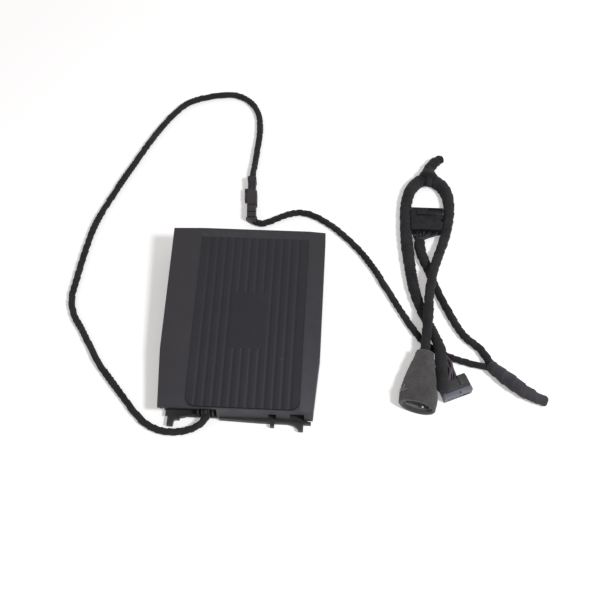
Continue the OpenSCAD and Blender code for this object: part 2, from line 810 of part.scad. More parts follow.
sensor_back = bracket_x - sensor_t;
module sensor_body() {
    color([0.15, 0.3, 0.5])
        translate([sensor_back, sensor_y, sensor_z])
            rotate([0, 90, 0])
                difference() {
                    union() {
                        cylinder(r = sensor_r, h = sensor_t);
                        cylinder(r = bush_r, h = bush_x - sensor_back);
                        for (i = [-1, 0, 1])
                            translate([-0.3, -sensor_r - 4, sensor_t / 2 - 0.4 + i * 2.4])
                                cube([0.6, 4.5, 0.8]);
                    }
                    translate([0, 0, 2]) cylinder(r = shaft_r + 0.05, h = sensor_t + 20);
                }
}

module sensor_nut() {
    color("silver")
        translate([bracket_x + bracket_t, sensor_y, sensor_z])
            rotate([0, 90, 0])
                difference() {
                    cylinder(r = bush_r + 2.4, h = nut_t, $fn = 6);
                    translate([0, 0, -1]) cylinder(r = bush_r, h = nut_t + 2);
                }
}

module sensor_wires() {
    tag_y = sensor_y - sensor_r - 3.6;
    color([0.75, 0.15, 0.12])
        for (i = [-1, 0, 1]) {
            x = sensor_back + sensor_t / 2 + i * 2.4;
            sweep([[x, tag_y, sensor_z], [x, tag_y - 2.4, board_top + 2.5],
                [board_x0 + board_w - 1, board_y0 + board_l - 12 + i * 2.4, board_top + 0.3]], 0.5, 6);
        }
}

module sensor_shaft() {
    color("silver")
        translate([sensor_back + 2.3, sensor_y, sensor_z])
            rotate([0, 90, 0])
                cylinder(r = shaft_r, h = lever_x + lever_t - sensor_back - 2.3);
}

module sensor_lever() {
    color([0.9, 0.88, 0.8])
        translate([lever_x, sensor_y, sensor_z])
            rotate([half_swing, 0, 0])
                difference() {
                    union() {
                        rotate([0, 90, 0]) cylinder(r = hub_r, h = lever_t);
                        translate([0, 0, -arm_half]) cube([lever_t, lever_r, 2 * arm_half]);
                        translate([0, lever_r, 0]) rotate([0, 90, 0]) cylinder(r = arm_half, h = lever_t);
                    }
                    translate([-1, 0, 0]) rotate([0, 90, 0]) cylinder(r = shaft_r, h = lever_t + 2);
                    translate([-1, lever_r, 0]) rotate([0, 90, 0]) cylinder(r = pin_r, h = lever_t + 2);
                }
}

module lever_pin() {
    color("silver")
        translate([lever_x, pin_y, pin_z])
            rotate([0, 90, 0])
                cylinder(r = pin_r, h = fork_x - lever_x + fork_t + 0.4);
}

// Strain relief in the heel wall: a block with an inner flange, a round nose and four fins.
module cord_grommet() {
    nose_l = heel_wall_y - exit_y;
    block_h = gate_h - floor_z;
    color([0.1, 0.1, 0.1])
        difference() {
            union() {
                translate([exit_x - grommet_w / 2, heel_wall_y, floor_z])
                    cube([grommet_w, tray_wall, block_h]);
                translate([exit_x - grommet_w / 2 - 1, heel_wall_y + tray_wall, floor_z])
                    cube([grommet_w + 2, 1.2, block_h]);
                for (x = [-6.6, -3.4, 2, 5.2])
                    translate([exit_x + x, exit_y, floor_z]) cube([fin_t, nose_l + 0.5, block_h - 0.6]);
                translate([exit_x, exit_y, exit_z])
                    rotate([-90, 0, 0])
                        cylinder(r = exit_z - floor_z, h = nose_l + 0.5);
            }
            translate([exit_x, exit_y - 1, exit_z]) rotate([-90, 0, 0]) cylinder(r = lead_r, h = 20);
        }
}

module inner_lead() {
    color([0.08, 0.08, 0.08])
        translate([exit_x, exit_y, exit_z])
            rotate([-90, 0, 0])
                cylinder(r = lead_r, h = lead_end_y - exit_y);
}

module cord_clamp() {
    color([0.2, 0.2, 0.2])
        difference() {
            union() {
                translate([exit_x - clamp_w / 2, clamp_y, floor_z]) cube([clamp_w, clamp_l, 4]);
                translate([exit_x - lead_r - 1.5, clamp_y, floor_z])
                    cube([lead_d + 3, clamp_l, clamp_top - floor_z]);
            }
            translate([exit_x, clamp_y - 1, exit_z])
                rotate([-90, 0, 0])
                    cylinder(r = lead_r, h = clamp_l + 2);
            for (p = clamp_spots) translate([p[0], p[1], floor_z - 1]) cylinder(r = 1.2, h = 10, $fn = 32);
        }
}

module clamp_screws() {
    color("silver")
        for (p = clamp_spots) translate([p[0], p[1], floor_z + 4]) screw(1.2, floor_t + 3.5);
}

module inner_wires() {
    header_x = board_x0 + board_w / 2;
    color([0.7, 0.6, 0.15])
        for (i = [-1, 0, 1])
            rod_between([exit_x + i * 1.5, lead_end_y - 0.5, exit_z],
                [header_x + i * 2.4, board_y0 + 2.5, board_top + 3], 0.6);
}

module pedal_lead() {
    color([0.07, 0.07, 0.08]) sweep(pedal_route, lead_r, 8);
}

module extension_lead() {
    color([0.07, 0.07, 0.08]) sweep(extension_route, lead_r, 8);
}

module trunk_loop() {
    color([0.07, 0.07, 0.08]) sweep(trunk_route, trunk_r, 8);
}

module branch_lead() {
    color([0.07, 0.07, 0.08]) sweep(branch_route, branch_r, 8);
}

module splice_sleeve() {
    color([0.09, 0.09, 0.1]) sweep(splice_route, splice_radii, 10);
}

// Tape wound round the top of the loop, with its free tail.
module loop_tie() {
    color([0.09, 0.09, 0.1]) sweep(tie_route, tie_radii, 8);
}

// Local frame of the inline connector: it starts at y = 0 and runs towards negative y.
plug_half_l = 16.8;
socket_half_l = 28.4;
inline_w = 8;
inline_h = 9;
plug_half_w = 7;
flange_l = 5;
latch_x = -6.6;
latch_z = 2.5;
latch_h = 4;
lug_l = 4;
arm_l = 15;
arm_t = 1.3;
arm_foot_l = 2.6;
mate_l = 13;
guard_h = 1.6;
groove_out = 0.7;
groove_l = 1.2;
module inline_frame() {
    translate([inline_at[0], inline_at[1], 0]) rotate([0, 0, inline_turn]) children();
}

module inline_plug() {
    color([0.08, 0.08, 0.09])
        inline_frame()
            difference() {
                union() {
                    translate([-plug_half_w / 2, -plug_half_l, 0])
                        cube([plug_half_w, plug_half_l, inline_h]);
                    translate([-inline_w / 2, -flange_l, 0]) cube([inline_w, flange_l - 1, inline_h]);
                    translate([latch_x, -plug_half_l, latch_z])
                        cube([-latch_x - plug_half_w / 2 + 1, lug_l, latch_h]);
                }
                for (x = [-1.6, 1.6])
                    translate([x - groove_l / 2, -plug_half_l + 3, inline_h - groove_out])
                        cube([groove_l, 7, 2]);
            }
}

module inline_socket() {
    color([0.1, 0.1, 0.11])
        inline_frame()
            translate([0, -plug_half_l - socket_half_l, 0])
                difference() {
                    union() {
                        translate([-inline_w / 2, 0, 0]) cube([inline_w, socket_half_l, inline_h]);
                        translate([-inline_w / 2, socket_half_l - mate_l, 0])
                            cube([inline_w + 0.8, mate_l, inline_h]);
                        translate([latch_x, socket_half_l - arm_l, latch_z])
                            cube([arm_t, arm_l, latch_h]);
                        translate([latch_x, socket_half_l - arm_l, latch_z])
                            cube([-latch_x - inline_w / 2 + 1, arm_foot_l, latch_h]);
                        translate([latch_x, socket_half_l - arm_l, 0])
                            cube([-latch_x - inline_w / 2 + 1, arm_l, guard_h]);
                        translate([-inline_w / 2 - 1.2, 1, 0]) cube([2, 2.4, 3]);
                    }
                    for (y = [4.5, socket_half_l - mate_l - 3])
                        translate([-inline_w / 2 - 1, y, inline_h - groove_out])
                            cube([inline_w + 2, groove_l, 2]);
                }
}

// Flat connector between the loop's strands, its mouth towards the loop's top.
flat_w = 26.1;
collar_out = 2.2;
collar_l = 12;
flat_l = 24;
flat_h = 9.5;
flat_body_h = 8.5;
rear_rib_l = 2.5;
panel_w = 16.5;
panel_l = 6;
panel_in = 2;
mouth_deep = 9;
mouth_wall = 2;
mouth_z = 1.6;
mouth_h = 5.2;
module flat_connector() {
    color([0.1, 0.1, 0.11])
        translate([flat_at[0], flat_at[1], 0])
            difference() {
                union() {
                    translate([-flat_w / 2, -flat_l / 2, 0]) cube([flat_w, flat_l, flat_body_h]);
                    translate([0, flat_l / 2 - collar_l, 0])
                        cube([flat_w / 2 + collar_out, collar_l, flat_body_h]);
                    translate([-flat_w / 2, -flat_l / 2, 0]) cube([flat_w, rear_rib_l, flat_h]);
                    translate([-panel_w / 2, flat_l / 2 - panel_l - panel_in, 0])
                        cube([panel_w, panel_l, flat_h]);
                }
                translate([-flat_w / 2 + mouth_wall, flat_l / 2 - mouth_deep, mouth_z])
                    cube([flat_w - 2 * mouth_wall, mouth_deep + 1, mouth_h]);
            }
}

flat_wire_n = 5;
flat_wire_pitch = 4.2;
wire_r = 1;
module flat_wires() {
    start_y = flat_at[1] - flat_l / 2;
    color([0.08, 0.08, 0.09])
        for (i = [0:flat_wire_n - 1])
            rod_between([flat_at[0] + (i - 2) * flat_wire_pitch, start_y + 0.5, 3.4 + (i % 2) * 1.4],
                branch_route[0] + [i * 0.5 - 1, -1.5, 0], wire_r);
}

// Local frame of the machine plug: the narrow end is at y = 0 and the mouth faces negative y.
sleeve_l = 50;
sleeve_y = [0, -4, -13, -26, -40, -sleeve_l];
sleeve_a = [7.4, 8, 10.6, 13.8, 15.4, 14.8];
sleeve_b = [7, 7.3, 8, 9, 9.4, 8.9];
sleeve_c = [9.8, 9.6, 9.2, 9, 9.4, 8.9];
mouth_slant = 0.1;
mouth_tilt = 0.21;
sleeve_wall = 2.8;
cavity_from = 27;
plug_from = 27.3;
plug_short = 1.5;
sleeve_n = 24;
function oval(y, a, b, c, slant, lean) = [for (k = [0:sleeve_n - 1])
    let (x = -a * cos(360 * k / sleeve_n), z = b * sin(360 * k / sleeve_n))
    [x, y - slant * x + lean * z, c + z]];

module plug_frame() {
    translate([plug_at[0], plug_at[1], 0]) rotate([0, 0, plug_turn]) children();
}

// Skins a row of ovals; the last of them has the whole slant and lean, the first has none.
module oval_loft(ys, as, bs, cs, slant, lean) {
    m = len(ys);
    points = [for (i = [0:m - 1])
        each oval(ys[i], as[i], bs[i], cs[i], slant * i / (m - 1), lean * i / (m - 1))];
    polyhedron(points, skin(m, sleeve_n));
}

module plug_core(from, to, shrink) {
    a = sleeve_a[5] - sleeve_wall - shrink;
    b = sleeve_b[5] - sleeve_wall - shrink;
    oval_loft([-from, -to], [a, a], [b, b], [sleeve_c[5], sleeve_c[5]], 0, 0);
}

module foam_sleeve() {
    color([0.23, 0.22, 0.22])
        plug_frame()
            difference() {
                oval_loft(sleeve_y, sleeve_a, sleeve_b, sleeve_c, mouth_slant, mouth_tilt);
                plug_core(cavity_from, sleeve_l + 4, 0);
            }
}

pin_gap = 9;
pin_out = 1;
socket_w = 19;
socket_h = 7;
socket_deep = 8;
module machine_plug() {
    front = sleeve_l - plug_short;
    color([0.06, 0.06, 0.07])
        plug_frame()
            difference() {
                plug_core(plug_from, front, 0.2);
                translate([-socket_w / 2, -front - 1, sleeve_c[5] - socket_h / 2])
                    cube([socket_w, socket_deep + 1, socket_h]);
            }
}

module plug_pins() {
    color("silver")
        plug_frame()
            for (s = [-1, 1])
                translate([s * pin_gap / 2, -sleeve_l + plug_short + socket_deep, sleeve_c[5]])
                    rotate([90, 0, 0])
                        cylinder(r = 1.1, h = socket_deep + pin_out);
}

// Multiway connector: its wires enter at positive y, its mating face looks towards negative y.
multi_w = 23.7;
multi_l = 13;
multi_h = 11;
multi_body_h = 10;
block_x = 4.2;
block_w = 7;
block_out = 1.5;
slot_n = 6;
slot_pitch = 3.4;
slot_w = 2;
multi_slot_z = 5.4;
lock_t = 4;
lock_h = 9;
lock_out = 0.4;
lock_slot_z = 1.4;
module multi_frame() {
    translate([multi_at[0], multi_at[1], 0]) rotate([0, 0, multi_turn]) children();
}

// Puts its children at the six ways of the multiway connector, at y and z of its local frame.
module at_ways(y, z) {
    for (i = [0:slot_n - 1])
        translate([(i - (slot_n - 1) / 2) * slot_pitch - slot_w / 2, y, z]) children();
}

module multiway_connector() {
    back = -multi_l / 2 + lock_t;
    color([0.1, 0.1, 0.11])
        multi_frame()
            difference() {
                union() {
                    translate([-multi_w / 2, back, 0]) cube([multi_w, multi_l - lock_t, multi_body_h]);
                    translate([block_x, back + 2, 0])
                        cube([block_w, multi_l - lock_t - 2 + block_out, multi_h]);
                }
                at_ways(back - 1, multi_slot_z) cube([slot_w, 5, 3]);
            }
}

module multiway_lock() {
    color([0.55, 0.56, 0.6])
        multi_frame()
            difference() {
                translate([-multi_w / 2 - lock_out, -multi_l / 2, 0])
                    cube([multi_w + 2 * lock_out, lock_t, lock_h]);
                at_ways(-multi_l / 2 - 1, lock_slot_z) cube([slot_w, lock_t + 2, 2.4]);
            }
}

// The four wires from the trunk's side into the back of the multiway connector.
multi_wire_n = 4;
wires_from = [164.5, -14.5, 9];
wires_mid = [168.8, -22, 7.4];
wires_to = [167.9, -39.4, 5];
module multiway_wires() {
    color([0.16, 0.1, 0.16])
        for (i = [0:multi_wire_n - 1])
            sweep([wires_from + i * [0.6, 0, 0], wires_mid + i * [1.5, -0.6, 0],
                wires_to + [i * 2.2, i * 1, (i % 2) * 2]], wire_r, 6);
}

base_tray();
rubber_feet();
hinge_rod();
rod_clips();
return_spring_left();
return_spring_right();
bump_stops();
circuit_board();
board_screws();
lead_header();
filter_capacitor();
control_chip();
power_transistor();
resistors();
sensor_bracket();
bracket_screws();
sensor_body();
sensor_nut();
sensor_wires();
cord_grommet();
inner_lead();
cord_clamp();
clamp_screws();
inner_wires();
treadle_shell();
tread_pad();
drive_fork();
fork_screws();
sensor_shaft();
sensor_lever();
lever_pin();
pedal_lead();
inline_plug();
inline_socket();
extension_lead();
trunk_loop();
loop_tie();
flat_connector();
flat_wires();
branch_lead();
splice_sleeve();
foam_sleeve();
machine_plug();
plug_pins();
multiway_connector();
multiway_lock();
multiway_wires();
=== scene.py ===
"""The looks of a foot pedal: a ribbed treadle on a tray, and its taped lead harness laid on the floor.

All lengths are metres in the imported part's frame: X across the pedal, Y from heel to toe, Z up.
"""
import json
import math

import bmesh
import bpy
from mathutils import Matrix, Vector, noise

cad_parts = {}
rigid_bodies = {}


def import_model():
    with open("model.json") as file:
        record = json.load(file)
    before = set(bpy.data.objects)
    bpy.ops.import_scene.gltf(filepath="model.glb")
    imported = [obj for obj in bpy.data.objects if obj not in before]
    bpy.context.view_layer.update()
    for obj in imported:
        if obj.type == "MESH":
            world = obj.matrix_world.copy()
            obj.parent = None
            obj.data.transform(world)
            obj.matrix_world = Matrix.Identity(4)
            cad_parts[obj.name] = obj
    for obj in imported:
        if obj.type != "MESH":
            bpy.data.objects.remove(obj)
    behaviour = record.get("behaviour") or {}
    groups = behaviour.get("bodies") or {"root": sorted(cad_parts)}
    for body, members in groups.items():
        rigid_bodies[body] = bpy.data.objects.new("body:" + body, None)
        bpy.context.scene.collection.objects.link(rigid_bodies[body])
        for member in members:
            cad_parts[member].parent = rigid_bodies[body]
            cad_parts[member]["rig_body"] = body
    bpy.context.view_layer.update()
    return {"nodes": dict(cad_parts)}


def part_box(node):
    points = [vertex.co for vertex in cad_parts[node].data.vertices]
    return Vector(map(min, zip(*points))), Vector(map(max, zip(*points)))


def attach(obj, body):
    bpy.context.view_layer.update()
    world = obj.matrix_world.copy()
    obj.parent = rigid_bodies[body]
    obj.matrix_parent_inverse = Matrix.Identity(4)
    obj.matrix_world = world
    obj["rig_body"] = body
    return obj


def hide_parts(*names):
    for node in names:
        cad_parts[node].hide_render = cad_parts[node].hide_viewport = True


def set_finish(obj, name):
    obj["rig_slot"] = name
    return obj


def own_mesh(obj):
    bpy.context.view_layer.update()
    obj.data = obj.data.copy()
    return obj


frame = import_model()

# ---------------------------------------------------------------- camera, floor and light

CAMERA_AT = (0.0791, -0.3387, 0.6775)
CAMERA_YAW, CAMERA_TILT, CAMERA_ROLL = 0.0906, 0.5077, -0.0407
CAMERA_LENS, CAMERA_SENSOR = 54, 36
CAMERA_NEAR = 0.01


def turned(angle, axis):
    return Matrix.Rotation(angle, 4, axis)


def make_camera():
    camera = bpy.data.objects.new("camera", bpy.data.cameras.new("camera"))
    bpy.context.scene.collection.objects.link(camera)
    camera.data.lens = CAMERA_LENS
    camera.data.sensor_width = CAMERA_SENSOR
    camera.data.clip_start = CAMERA_NEAR
    turn = turned(CAMERA_YAW, "Z") @ turned(CAMERA_TILT, "X") @ turned(CAMERA_ROLL, "Z")
    camera.matrix_world = Matrix.Translation(CAMERA_AT) @ turn
    bpy.context.scene.camera = camera


make_camera()
bpy.context.scene.view_settings.view_transform = "Standard"

# ---------------------------------------------------------------- routes of the cords, as in the CAD source

LEAD_R = 0.0028
TRUNK_R = 0.0041
BRANCH_R = 0.00325
EXIT = (-0.024, -0.0755, 0.008)

PEDAL_ROUTE = [
    EXIT, (-0.024, -0.079, 0.008), (-0.031, -0.085, 0.0054), (-0.043, -0.0885, LEAD_R),
    (-0.057, -0.089, LEAD_R), (-0.07, -0.0845, LEAD_R), (-0.081, -0.0755, LEAD_R),
    (-0.093, -0.062, LEAD_R), (-0.106, -0.047, LEAD_R), (-0.119, -0.0315, LEAD_R),
    (-0.129, -0.016, LEAD_R), (-0.138, -0.0015, LEAD_R), (-0.1475, 0.013, LEAD_R),
    (-0.152, 0.0295, LEAD_R), (-0.151, 0.047, LEAD_R), (-0.1495, 0.066, LEAD_R),
    (-0.1475, 0.084, LEAD_R), (-0.145, 0.101, LEAD_R), (-0.14, 0.119, LEAD_R), (-0.1335, 0.137, LEAD_R),
    (-0.1265, 0.1555, LEAD_R), (-0.117, 0.178, LEAD_R), (-0.1075, 0.201, LEAD_R),
    (-0.0965, 0.223, LEAD_R), (-0.086, 0.24, LEAD_R), (-0.075, 0.2515, LEAD_R),
    (-0.059, 0.2585, LEAD_R), (-0.042, 0.262, LEAD_R), (-0.028, 0.2615, LEAD_R),
    (-0.0155, 0.254, LEAD_R), (-0.0065, 0.24, LEAD_R), (-0.0035, 0.221, LEAD_R),
    (-0.0038, 0.201, 0.0032), (-0.0047, 0.181, 0.0041), (-0.006, 0.1608, 0.0045)]
EXTENSION_ROUTE = [
    (-0.0016, 0.119, 0.0045), (-0.0006, 0.1152, 0.0043), (0.0022, 0.1126, 0.0037),
    (0.0064, 0.1122, 0.0031), (0.0118, 0.114, LEAD_R), (0.0179, 0.1172, LEAD_R),
    (0.0241, 0.1205, LEAD_R), (0.0315, 0.1238, LEAD_R), (0.042, 0.1255, LEAD_R), (0.056, 0.121, LEAD_R),
    (0.074, 0.1085, LEAD_R), (0.0925, 0.09, LEAD_R), (0.107, 0.0705, LEAD_R), (0.1185, 0.0505, LEAD_R),
    (0.13, 0.0305, LEAD_R), (0.1415, 0.0115, LEAD_R), (0.1505, -0.0005, LEAD_R),
    (0.1615, -0.0085, LEAD_R), (0.175, -0.0145, LEAD_R), (0.191, -0.019, LEAD_R),
    (0.206, -0.0225, 0.004)]
TRUNK_ROUTE = [
    (0.1505, -0.0145, 0.0098), (0.1511, -0.007, 0.0101), (0.1522, 0.004, 0.011),
    (0.1532, 0.018, 0.0128), (0.155, 0.042, 0.0118), (0.1588, 0.065, 0.0112), (0.1643, 0.084, 0.0072),
    (0.1688, 0.099, 0.0046), (0.1716, 0.111, TRUNK_R), (0.1737, 0.124, TRUNK_R),
    (0.1744, 0.136, TRUNK_R), (0.1734, 0.147, TRUNK_R), (0.1698, 0.1564, TRUNK_R),
    (0.1636, 0.1628, TRUNK_R), (0.156, 0.1656, TRUNK_R), (0.148, 0.1632, TRUNK_R),
    (0.1416, 0.1564, TRUNK_R), (0.1378, 0.147, TRUNK_R), (0.1354, 0.131, TRUNK_R),
    (0.1358, 0.108, TRUNK_R), (0.1382, 0.08, TRUNK_R), (0.142, 0.053, TRUNK_R), (0.147, 0.034, TRUNK_R),
    (0.154, 0.017, TRUNK_R), (0.1606, -0.001, 0.0082), (0.163, -0.012, 0.0104),
    (0.1634, -0.024, 0.0108), (0.164, -0.036, 0.012), (0.1648, -0.0485, 0.0132)]
BRANCH_ROUTE = [
    (0.1474, 0.0995, 0.004), (0.1489, 0.088, BRANCH_R), (0.1538, 0.0735, BRANCH_R),
    (0.1616, 0.0515, BRANCH_R), (0.1715, 0.029, BRANCH_R), (0.183, 0.008, BRANCH_R),
    (0.197, -0.0055, BRANCH_R), (0.2055, -0.02, 0.0046)]
SPLICE_ROUTE = [
    (0.203, -0.0195, 0.005), (0.211, -0.027, 0.0056), (0.22, -0.0345, 0.006), (0.23, -0.042, 0.0054),
    (0.2395, -0.047, 0.0046), (0.2465, -0.0498, 0.0042), (0.2485, -0.0506, 0.0042)]
SPLICE_RADII = [0.0046, 0.0054, 0.006, 0.0054, 0.0045, 0.0041, 0.0029]

# ---------------------------------------------------------------- pieces and tubes

FLOOR_GAP = 0.0002  # no tube or sleeve comes nearer to the floor


def spline(points, step):
    """Points about step apart on a smooth curve through the given points, of any dimension."""
    p = [Vector(x) for x in points]
    p = [2 * p[0] - p[1]] + p + [2 * p[-1] - p[-2]]
    out = []
    for a, b, c, d in zip(p, p[1:], p[2:], p[3:]):
        count = max(2, round((c - b).length / step))
        for i in range(count):
            t = i / count
            out.append(0.5 * (2 * b + (c - a) * t + (2 * a - 5 * b + 4 * c - d) * t ** 2
                              + (3 * b - a - 3 * c + d) * t ** 3))
    out.append(p[-2])
    return out


def new_piece(name, mesh_or_bm, material, body="base", slot=None):
    """An object of that mesh, smooth, with its material, riding on a body."""
    if isinstance(mesh_or_bm, bmesh.types.BMesh):
        mesh = bpy.data.meshes.new(name)
        bmesh.ops.recalc_face_normals(mesh_or_bm, faces=mesh_or_bm.faces)
        mesh_or_bm.to_mesh(mesh)
        mesh_or_bm.free()
    else:
        mesh = mesh_or_bm
    mesh.materials.append(material)
    mesh.polygons.foreach_set("use_smooth", [True] * len(mesh.polygons))
    piece = bpy.data.objects.new(name, mesh)
    bpy.context.scene.collection.objects.link(piece)
    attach(piece, body)
    if slot:
        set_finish(piece, slot)
    return piece


def tube_mesh(name, line, surface, sides):
    """A closed tube along line, with a UV map in metres: round the tube, and along it.

    surface(i, s, angle) is its radius at point i, s metres along, at that angle.
    """
    mesh = bpy.data.meshes.new(name)
    verts, faces, uvs = [], [], []
    s, last = 0.0, line[0]
    count = len(line)
    lengths = []
    for i, p in enumerate(line):
        s += (p - last).length
        last = p
        lengths.append(s)
        t = (line[min(i + 1, count - 1)] - line[max(i - 1, 0)]).normalized()
        side = t.cross(Vector((0, 0, 1))).normalized()
        up = side.cross(t)
        for k in range(sides):
            angle = 2 * math.pi * k / sides
            q = p + surface(i, s, angle) * (math.cos(angle) * side + math.sin(angle) * up)
            verts.append((q.x, q.y, max(q.z, FLOOR_GAP)))
    around = 2 * math.pi * surface(count // 2, lengths[count // 2], 0) / sides
    for i in range(count - 1):
        for k in range(sides):
            a, b = i * sides + k, i * sides + (k + 1) % sides
            faces.append((a, b, b + sides, a + sides))
            u, v = k * around, (k + 1) * around
            uvs += [(u, lengths[i]), (v, lengths[i]), (v, lengths[i + 1]), (u, lengths[i + 1])]
    for start, order in ((0, range(sides - 1, -1, -1)), ((count - 1) * sides, range(sides))):
        faces.append(tuple(start + k for k in order))
        uvs += [(k * around, 0) for k in order]
    mesh.from_pydata(verts, [], faces)
    layer = mesh.uv_layers.new(name="metres")
    layer.data.foreach_set("uv", [x for uv in uvs for x in uv])
    mesh.update()
    return mesh


def plain_tube(name, line, radius, sides=12):
    """A closed tube of one radius along line."""
    return tube_mesh(name, line, lambda i, s, angle: radius, sides)


def round_tube(name, route, radius, material, slot, sides=12, step=0.001, body="base"):
    """A piece that is a tube of one radius, on a smooth curve through route."""
    return new_piece(name, plain_tube(name, spline(route, step), radius, sides), material, body, slot)


def joined(name, parts):
    """One piece made of several meshes that share a material, a body and a slot."""
    bm = bmesh.new()
    for part in parts:
        bm.from_mesh(part.data)
    first = parts[0]
    material, body, slot = first.data.materials[0], first["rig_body"], first["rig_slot"]
    for part in parts:
        bpy.data.objects.remove(part)
    return new_piece(name, bm, material, body, slot)


# ---------------------------------------------------------------- materials

class Graph:
    """A material's nodes, with short names for the ones that are used here."""

    def __init__(self, name, base, rough, **sockets):
        self.material = bpy.data.materials.new(name)
        self.material.use_nodes = True
        self.tree = self.material.node_tree
        self.shader = self.tree.nodes["Principled BSDF"]
        self.set("Base Color", (*base, 1))
        self.set("Roughness", rough)
        for socket, value in sockets.items():
            self.set(socket.replace("_", " "), value)

    def set(self, socket, value):
        self.shader.inputs[socket].default_value = value

    def node(self, kind, **settings):
        made = self.tree.nodes.new("ShaderNode" + kind)
        for key, value in settings.items():
            setattr(made, key, value)
        return made

    def link(self, source, target):
        self.tree.links.new(source, target)

    def place(self, uv=False):
        return self.node("TexCoord").outputs["UV" if uv else "Object"]

    def noise(self, scale, detail=3.0, rough=0.55, where=None):
        made = self.node("TexNoise")
        self.link(where or self.place(), made.inputs["Vector"])
        made.inputs["Scale"].default_value = scale
        made.inputs["Detail"].default_value = detail
        made.inputs["Roughness"].default_value = rough
        return made.outputs["Fac"]

    def math(self, operation, a, b=0.0):
        made = self.node("Math", operation=operation)
        for socket, value in zip(made.inputs, (a, b)):
            if isinstance(value, (int, float)):
                socket.default_value = value
            else:
                self.link(value, socket)
        return made.outputs[0]

    def span(self, fac, low, high, start=0.0, end=1.0):
        """fac from start to end becomes low to high."""
        made = self.node("MapRange")
        self.link(fac, made.inputs["Value"])
        for socket, value in zip(("From Min", "From Max", "To Min", "To Max"), (start, end, low, high)):
            made.inputs[socket].default_value = value
        return made.outputs["Result"]

    def mix(self, fac, a, b):
        made = self.node("Mix", data_type="RGBA")
        self.link(fac, made.inputs[0])
        for socket, value in ((made.inputs[6], a), (made.inputs[7], b)):
            if isinstance(value, tuple):
                socket.default_value = (*value, 1)
            else:
                self.link(value, socket)
        return made.outputs[2]

    def color(self, source):
        self.link(source, self.shader.inputs["Base Color"])

    def roughness(self, source):
        self.link(source, self.shader.inputs["Roughness"])

    def bump(self, height, distance, strength=1.0, under=None):
        """Bumps of that height in metres, over another bump if one is given."""
        made = self.node("Bump")
        made.inputs["Distance"].default_value = distance
        made.inputs["Strength"].default_value = strength
        self.link(height, made.inputs["Height"])
        if under:
            self.link(under, made.inputs["Normal"])
        self.link(made.outputs["Normal"], self.shader.inputs["Normal"])
        return made.outputs["Normal"]

    def edges(self, low=0.52, high=0.62):
        """1 on convex edges and 0 on flats and hollows."""
        return self.span(self.node("NewGeometry").outputs["Pointiness"], 0, 1, low, high)


COOL, PLAIN = (0.92, 0.9, 1.0), (1.0, 1.0, 1.0)  # tints of a gloss
THREAD = 0.00045  # from one thread of the cloth tape to the next


def toned(base, factor, lift=0.0):
    return tuple(c * factor + lift for c in base)


def moulded(name, base, rough, grain=2600.0, grain_height=0.00004, wear=0.5, level=0.5, tint=PLAIN):
    """Moulded plastic: spark-eroded grain, cloudy gloss, faint dust and edges rubbed lighter."""
    g = Graph(name, base, rough, Specular_IOR_Level=level, Specular_Tint=(*tint, 1))
    cloud = g.noise(45, 4)
    worn = g.math("MULTIPLY", g.edges(), g.span(g.noise(220, 3), 0, wear, 0.4, 0.7))
    dusty = g.mix(g.span(cloud, 0, 1, 0.35, 0.75), base, toned(base, 1.25, 0.002))
    g.color(g.mix(worn, dusty, toned(base, 2.4, 0.012)))
    g.roughness(g.span(g.noise(90, 5), rough - 0.05, rough + 0.07, 0.3, 0.7))
    g.bump(g.noise(grain, 2, 0.6), grain_height, 0.6)
    return g.material


def rubber(name, base, rough=0.62):
    """Dull rubber with dust in its pores."""
    g = Graph(name, base, rough, Specular_IOR_Level=0.4)
    dust = g.span(g.noise(160, 6, 0.65), 0, 0.5, 0.5, 0.8)
    g.color(g.mix(dust, base, toned(base, 1.8, 0.006)))
    g.roughness(g.span(g.noise(60, 4), rough - 0.05, rough + 0.1, 0.3, 0.7))
    g.bump(g.noise(1800, 3, 0.6), 0.00003, 0.5)
    return g.material


def cloth_tape(name, base):
    """Woven cloth tape: threads both ways on the UV map's metres, nap and a tone that varies at random."""
    g = Graph(name, base, 0.88, Specular_IOR_Level=0.2, Sheen_Weight=0.07, Sheen_Roughness=0.5)
    where = g.node("Mapping")
    g.link(g.place(uv=True), where.inputs["Vector"])
    where.inputs["Rotation"].default_value = (0, 0, 0.5)
    parts = g.node("SeparateXYZ")
    g.link(where.outputs["Vector"], parts.inputs[0])
    turns = 2 * math.pi / THREAD
    warp = g.math("SINE", g.math("MULTIPLY", parts.outputs["X"], turns))
    weft = g.math("SINE", g.math("MULTIPLY", parts.outputs["Y"], turns))
    weave = g.math("MULTIPLY", warp, weft)
    nap = g.noise(2400, 4, 0.7)
    tone = g.span(g.noise(70, 5, 0.6), 0, 1, 0.3, 0.75)
    g.color(g.mix(tone, toned(base, 0.62), toned(base, 1.6)))
    under = g.bump(g.span(weave, 0, 1, -1, 1), THREAD * 0.3, 0.7)
    g.bump(nap, 0.00012, 0.6, under)
    return g.material


def felt(name, base):
    """Felted foam: matted fibres, dark specks of painted shade for small pits, and paler rubbed patches."""
    g = Graph(name, base, 0.95, Specular_IOR_Level=0.2, Sheen_Weight=0.3, Sheen_Roughness=0.6)
    fibre = g.noise(1500, 6, 0.75)
    patch = g.span(g.noise(110, 5, 0.65), 0, 1, 0.35, 0.7)
    pits = g.node("TexVoronoi", feature="F1")
    g.link(g.place(), pits.inputs["Vector"])
    pits.inputs["Scale"].default_value = 620
    # painted shade: dark specks at the cell middles stand for the shade in small pits, which the mesh does
    # not have
    pit_shade = g.span(pits.outputs["Distance"], 0.45, 1, 0, 0.35)
    tone = g.mix(patch, toned(base, 0.75), toned(base, 1.3))
    shade = g.node("Mix", data_type="RGBA", blend_type="MULTIPLY")
    shade.inputs[0].default_value = 1
    g.link(tone, shade.inputs[6])
    g.link(pit_shade, shade.inputs[7])
    g.color(shade.outputs[2])
    under = g.bump(g.noise(420, 4, 0.6), 0.0004, 0.5)
    g.bump(fibre, 0.00025, 0.8, under)
    return g.material


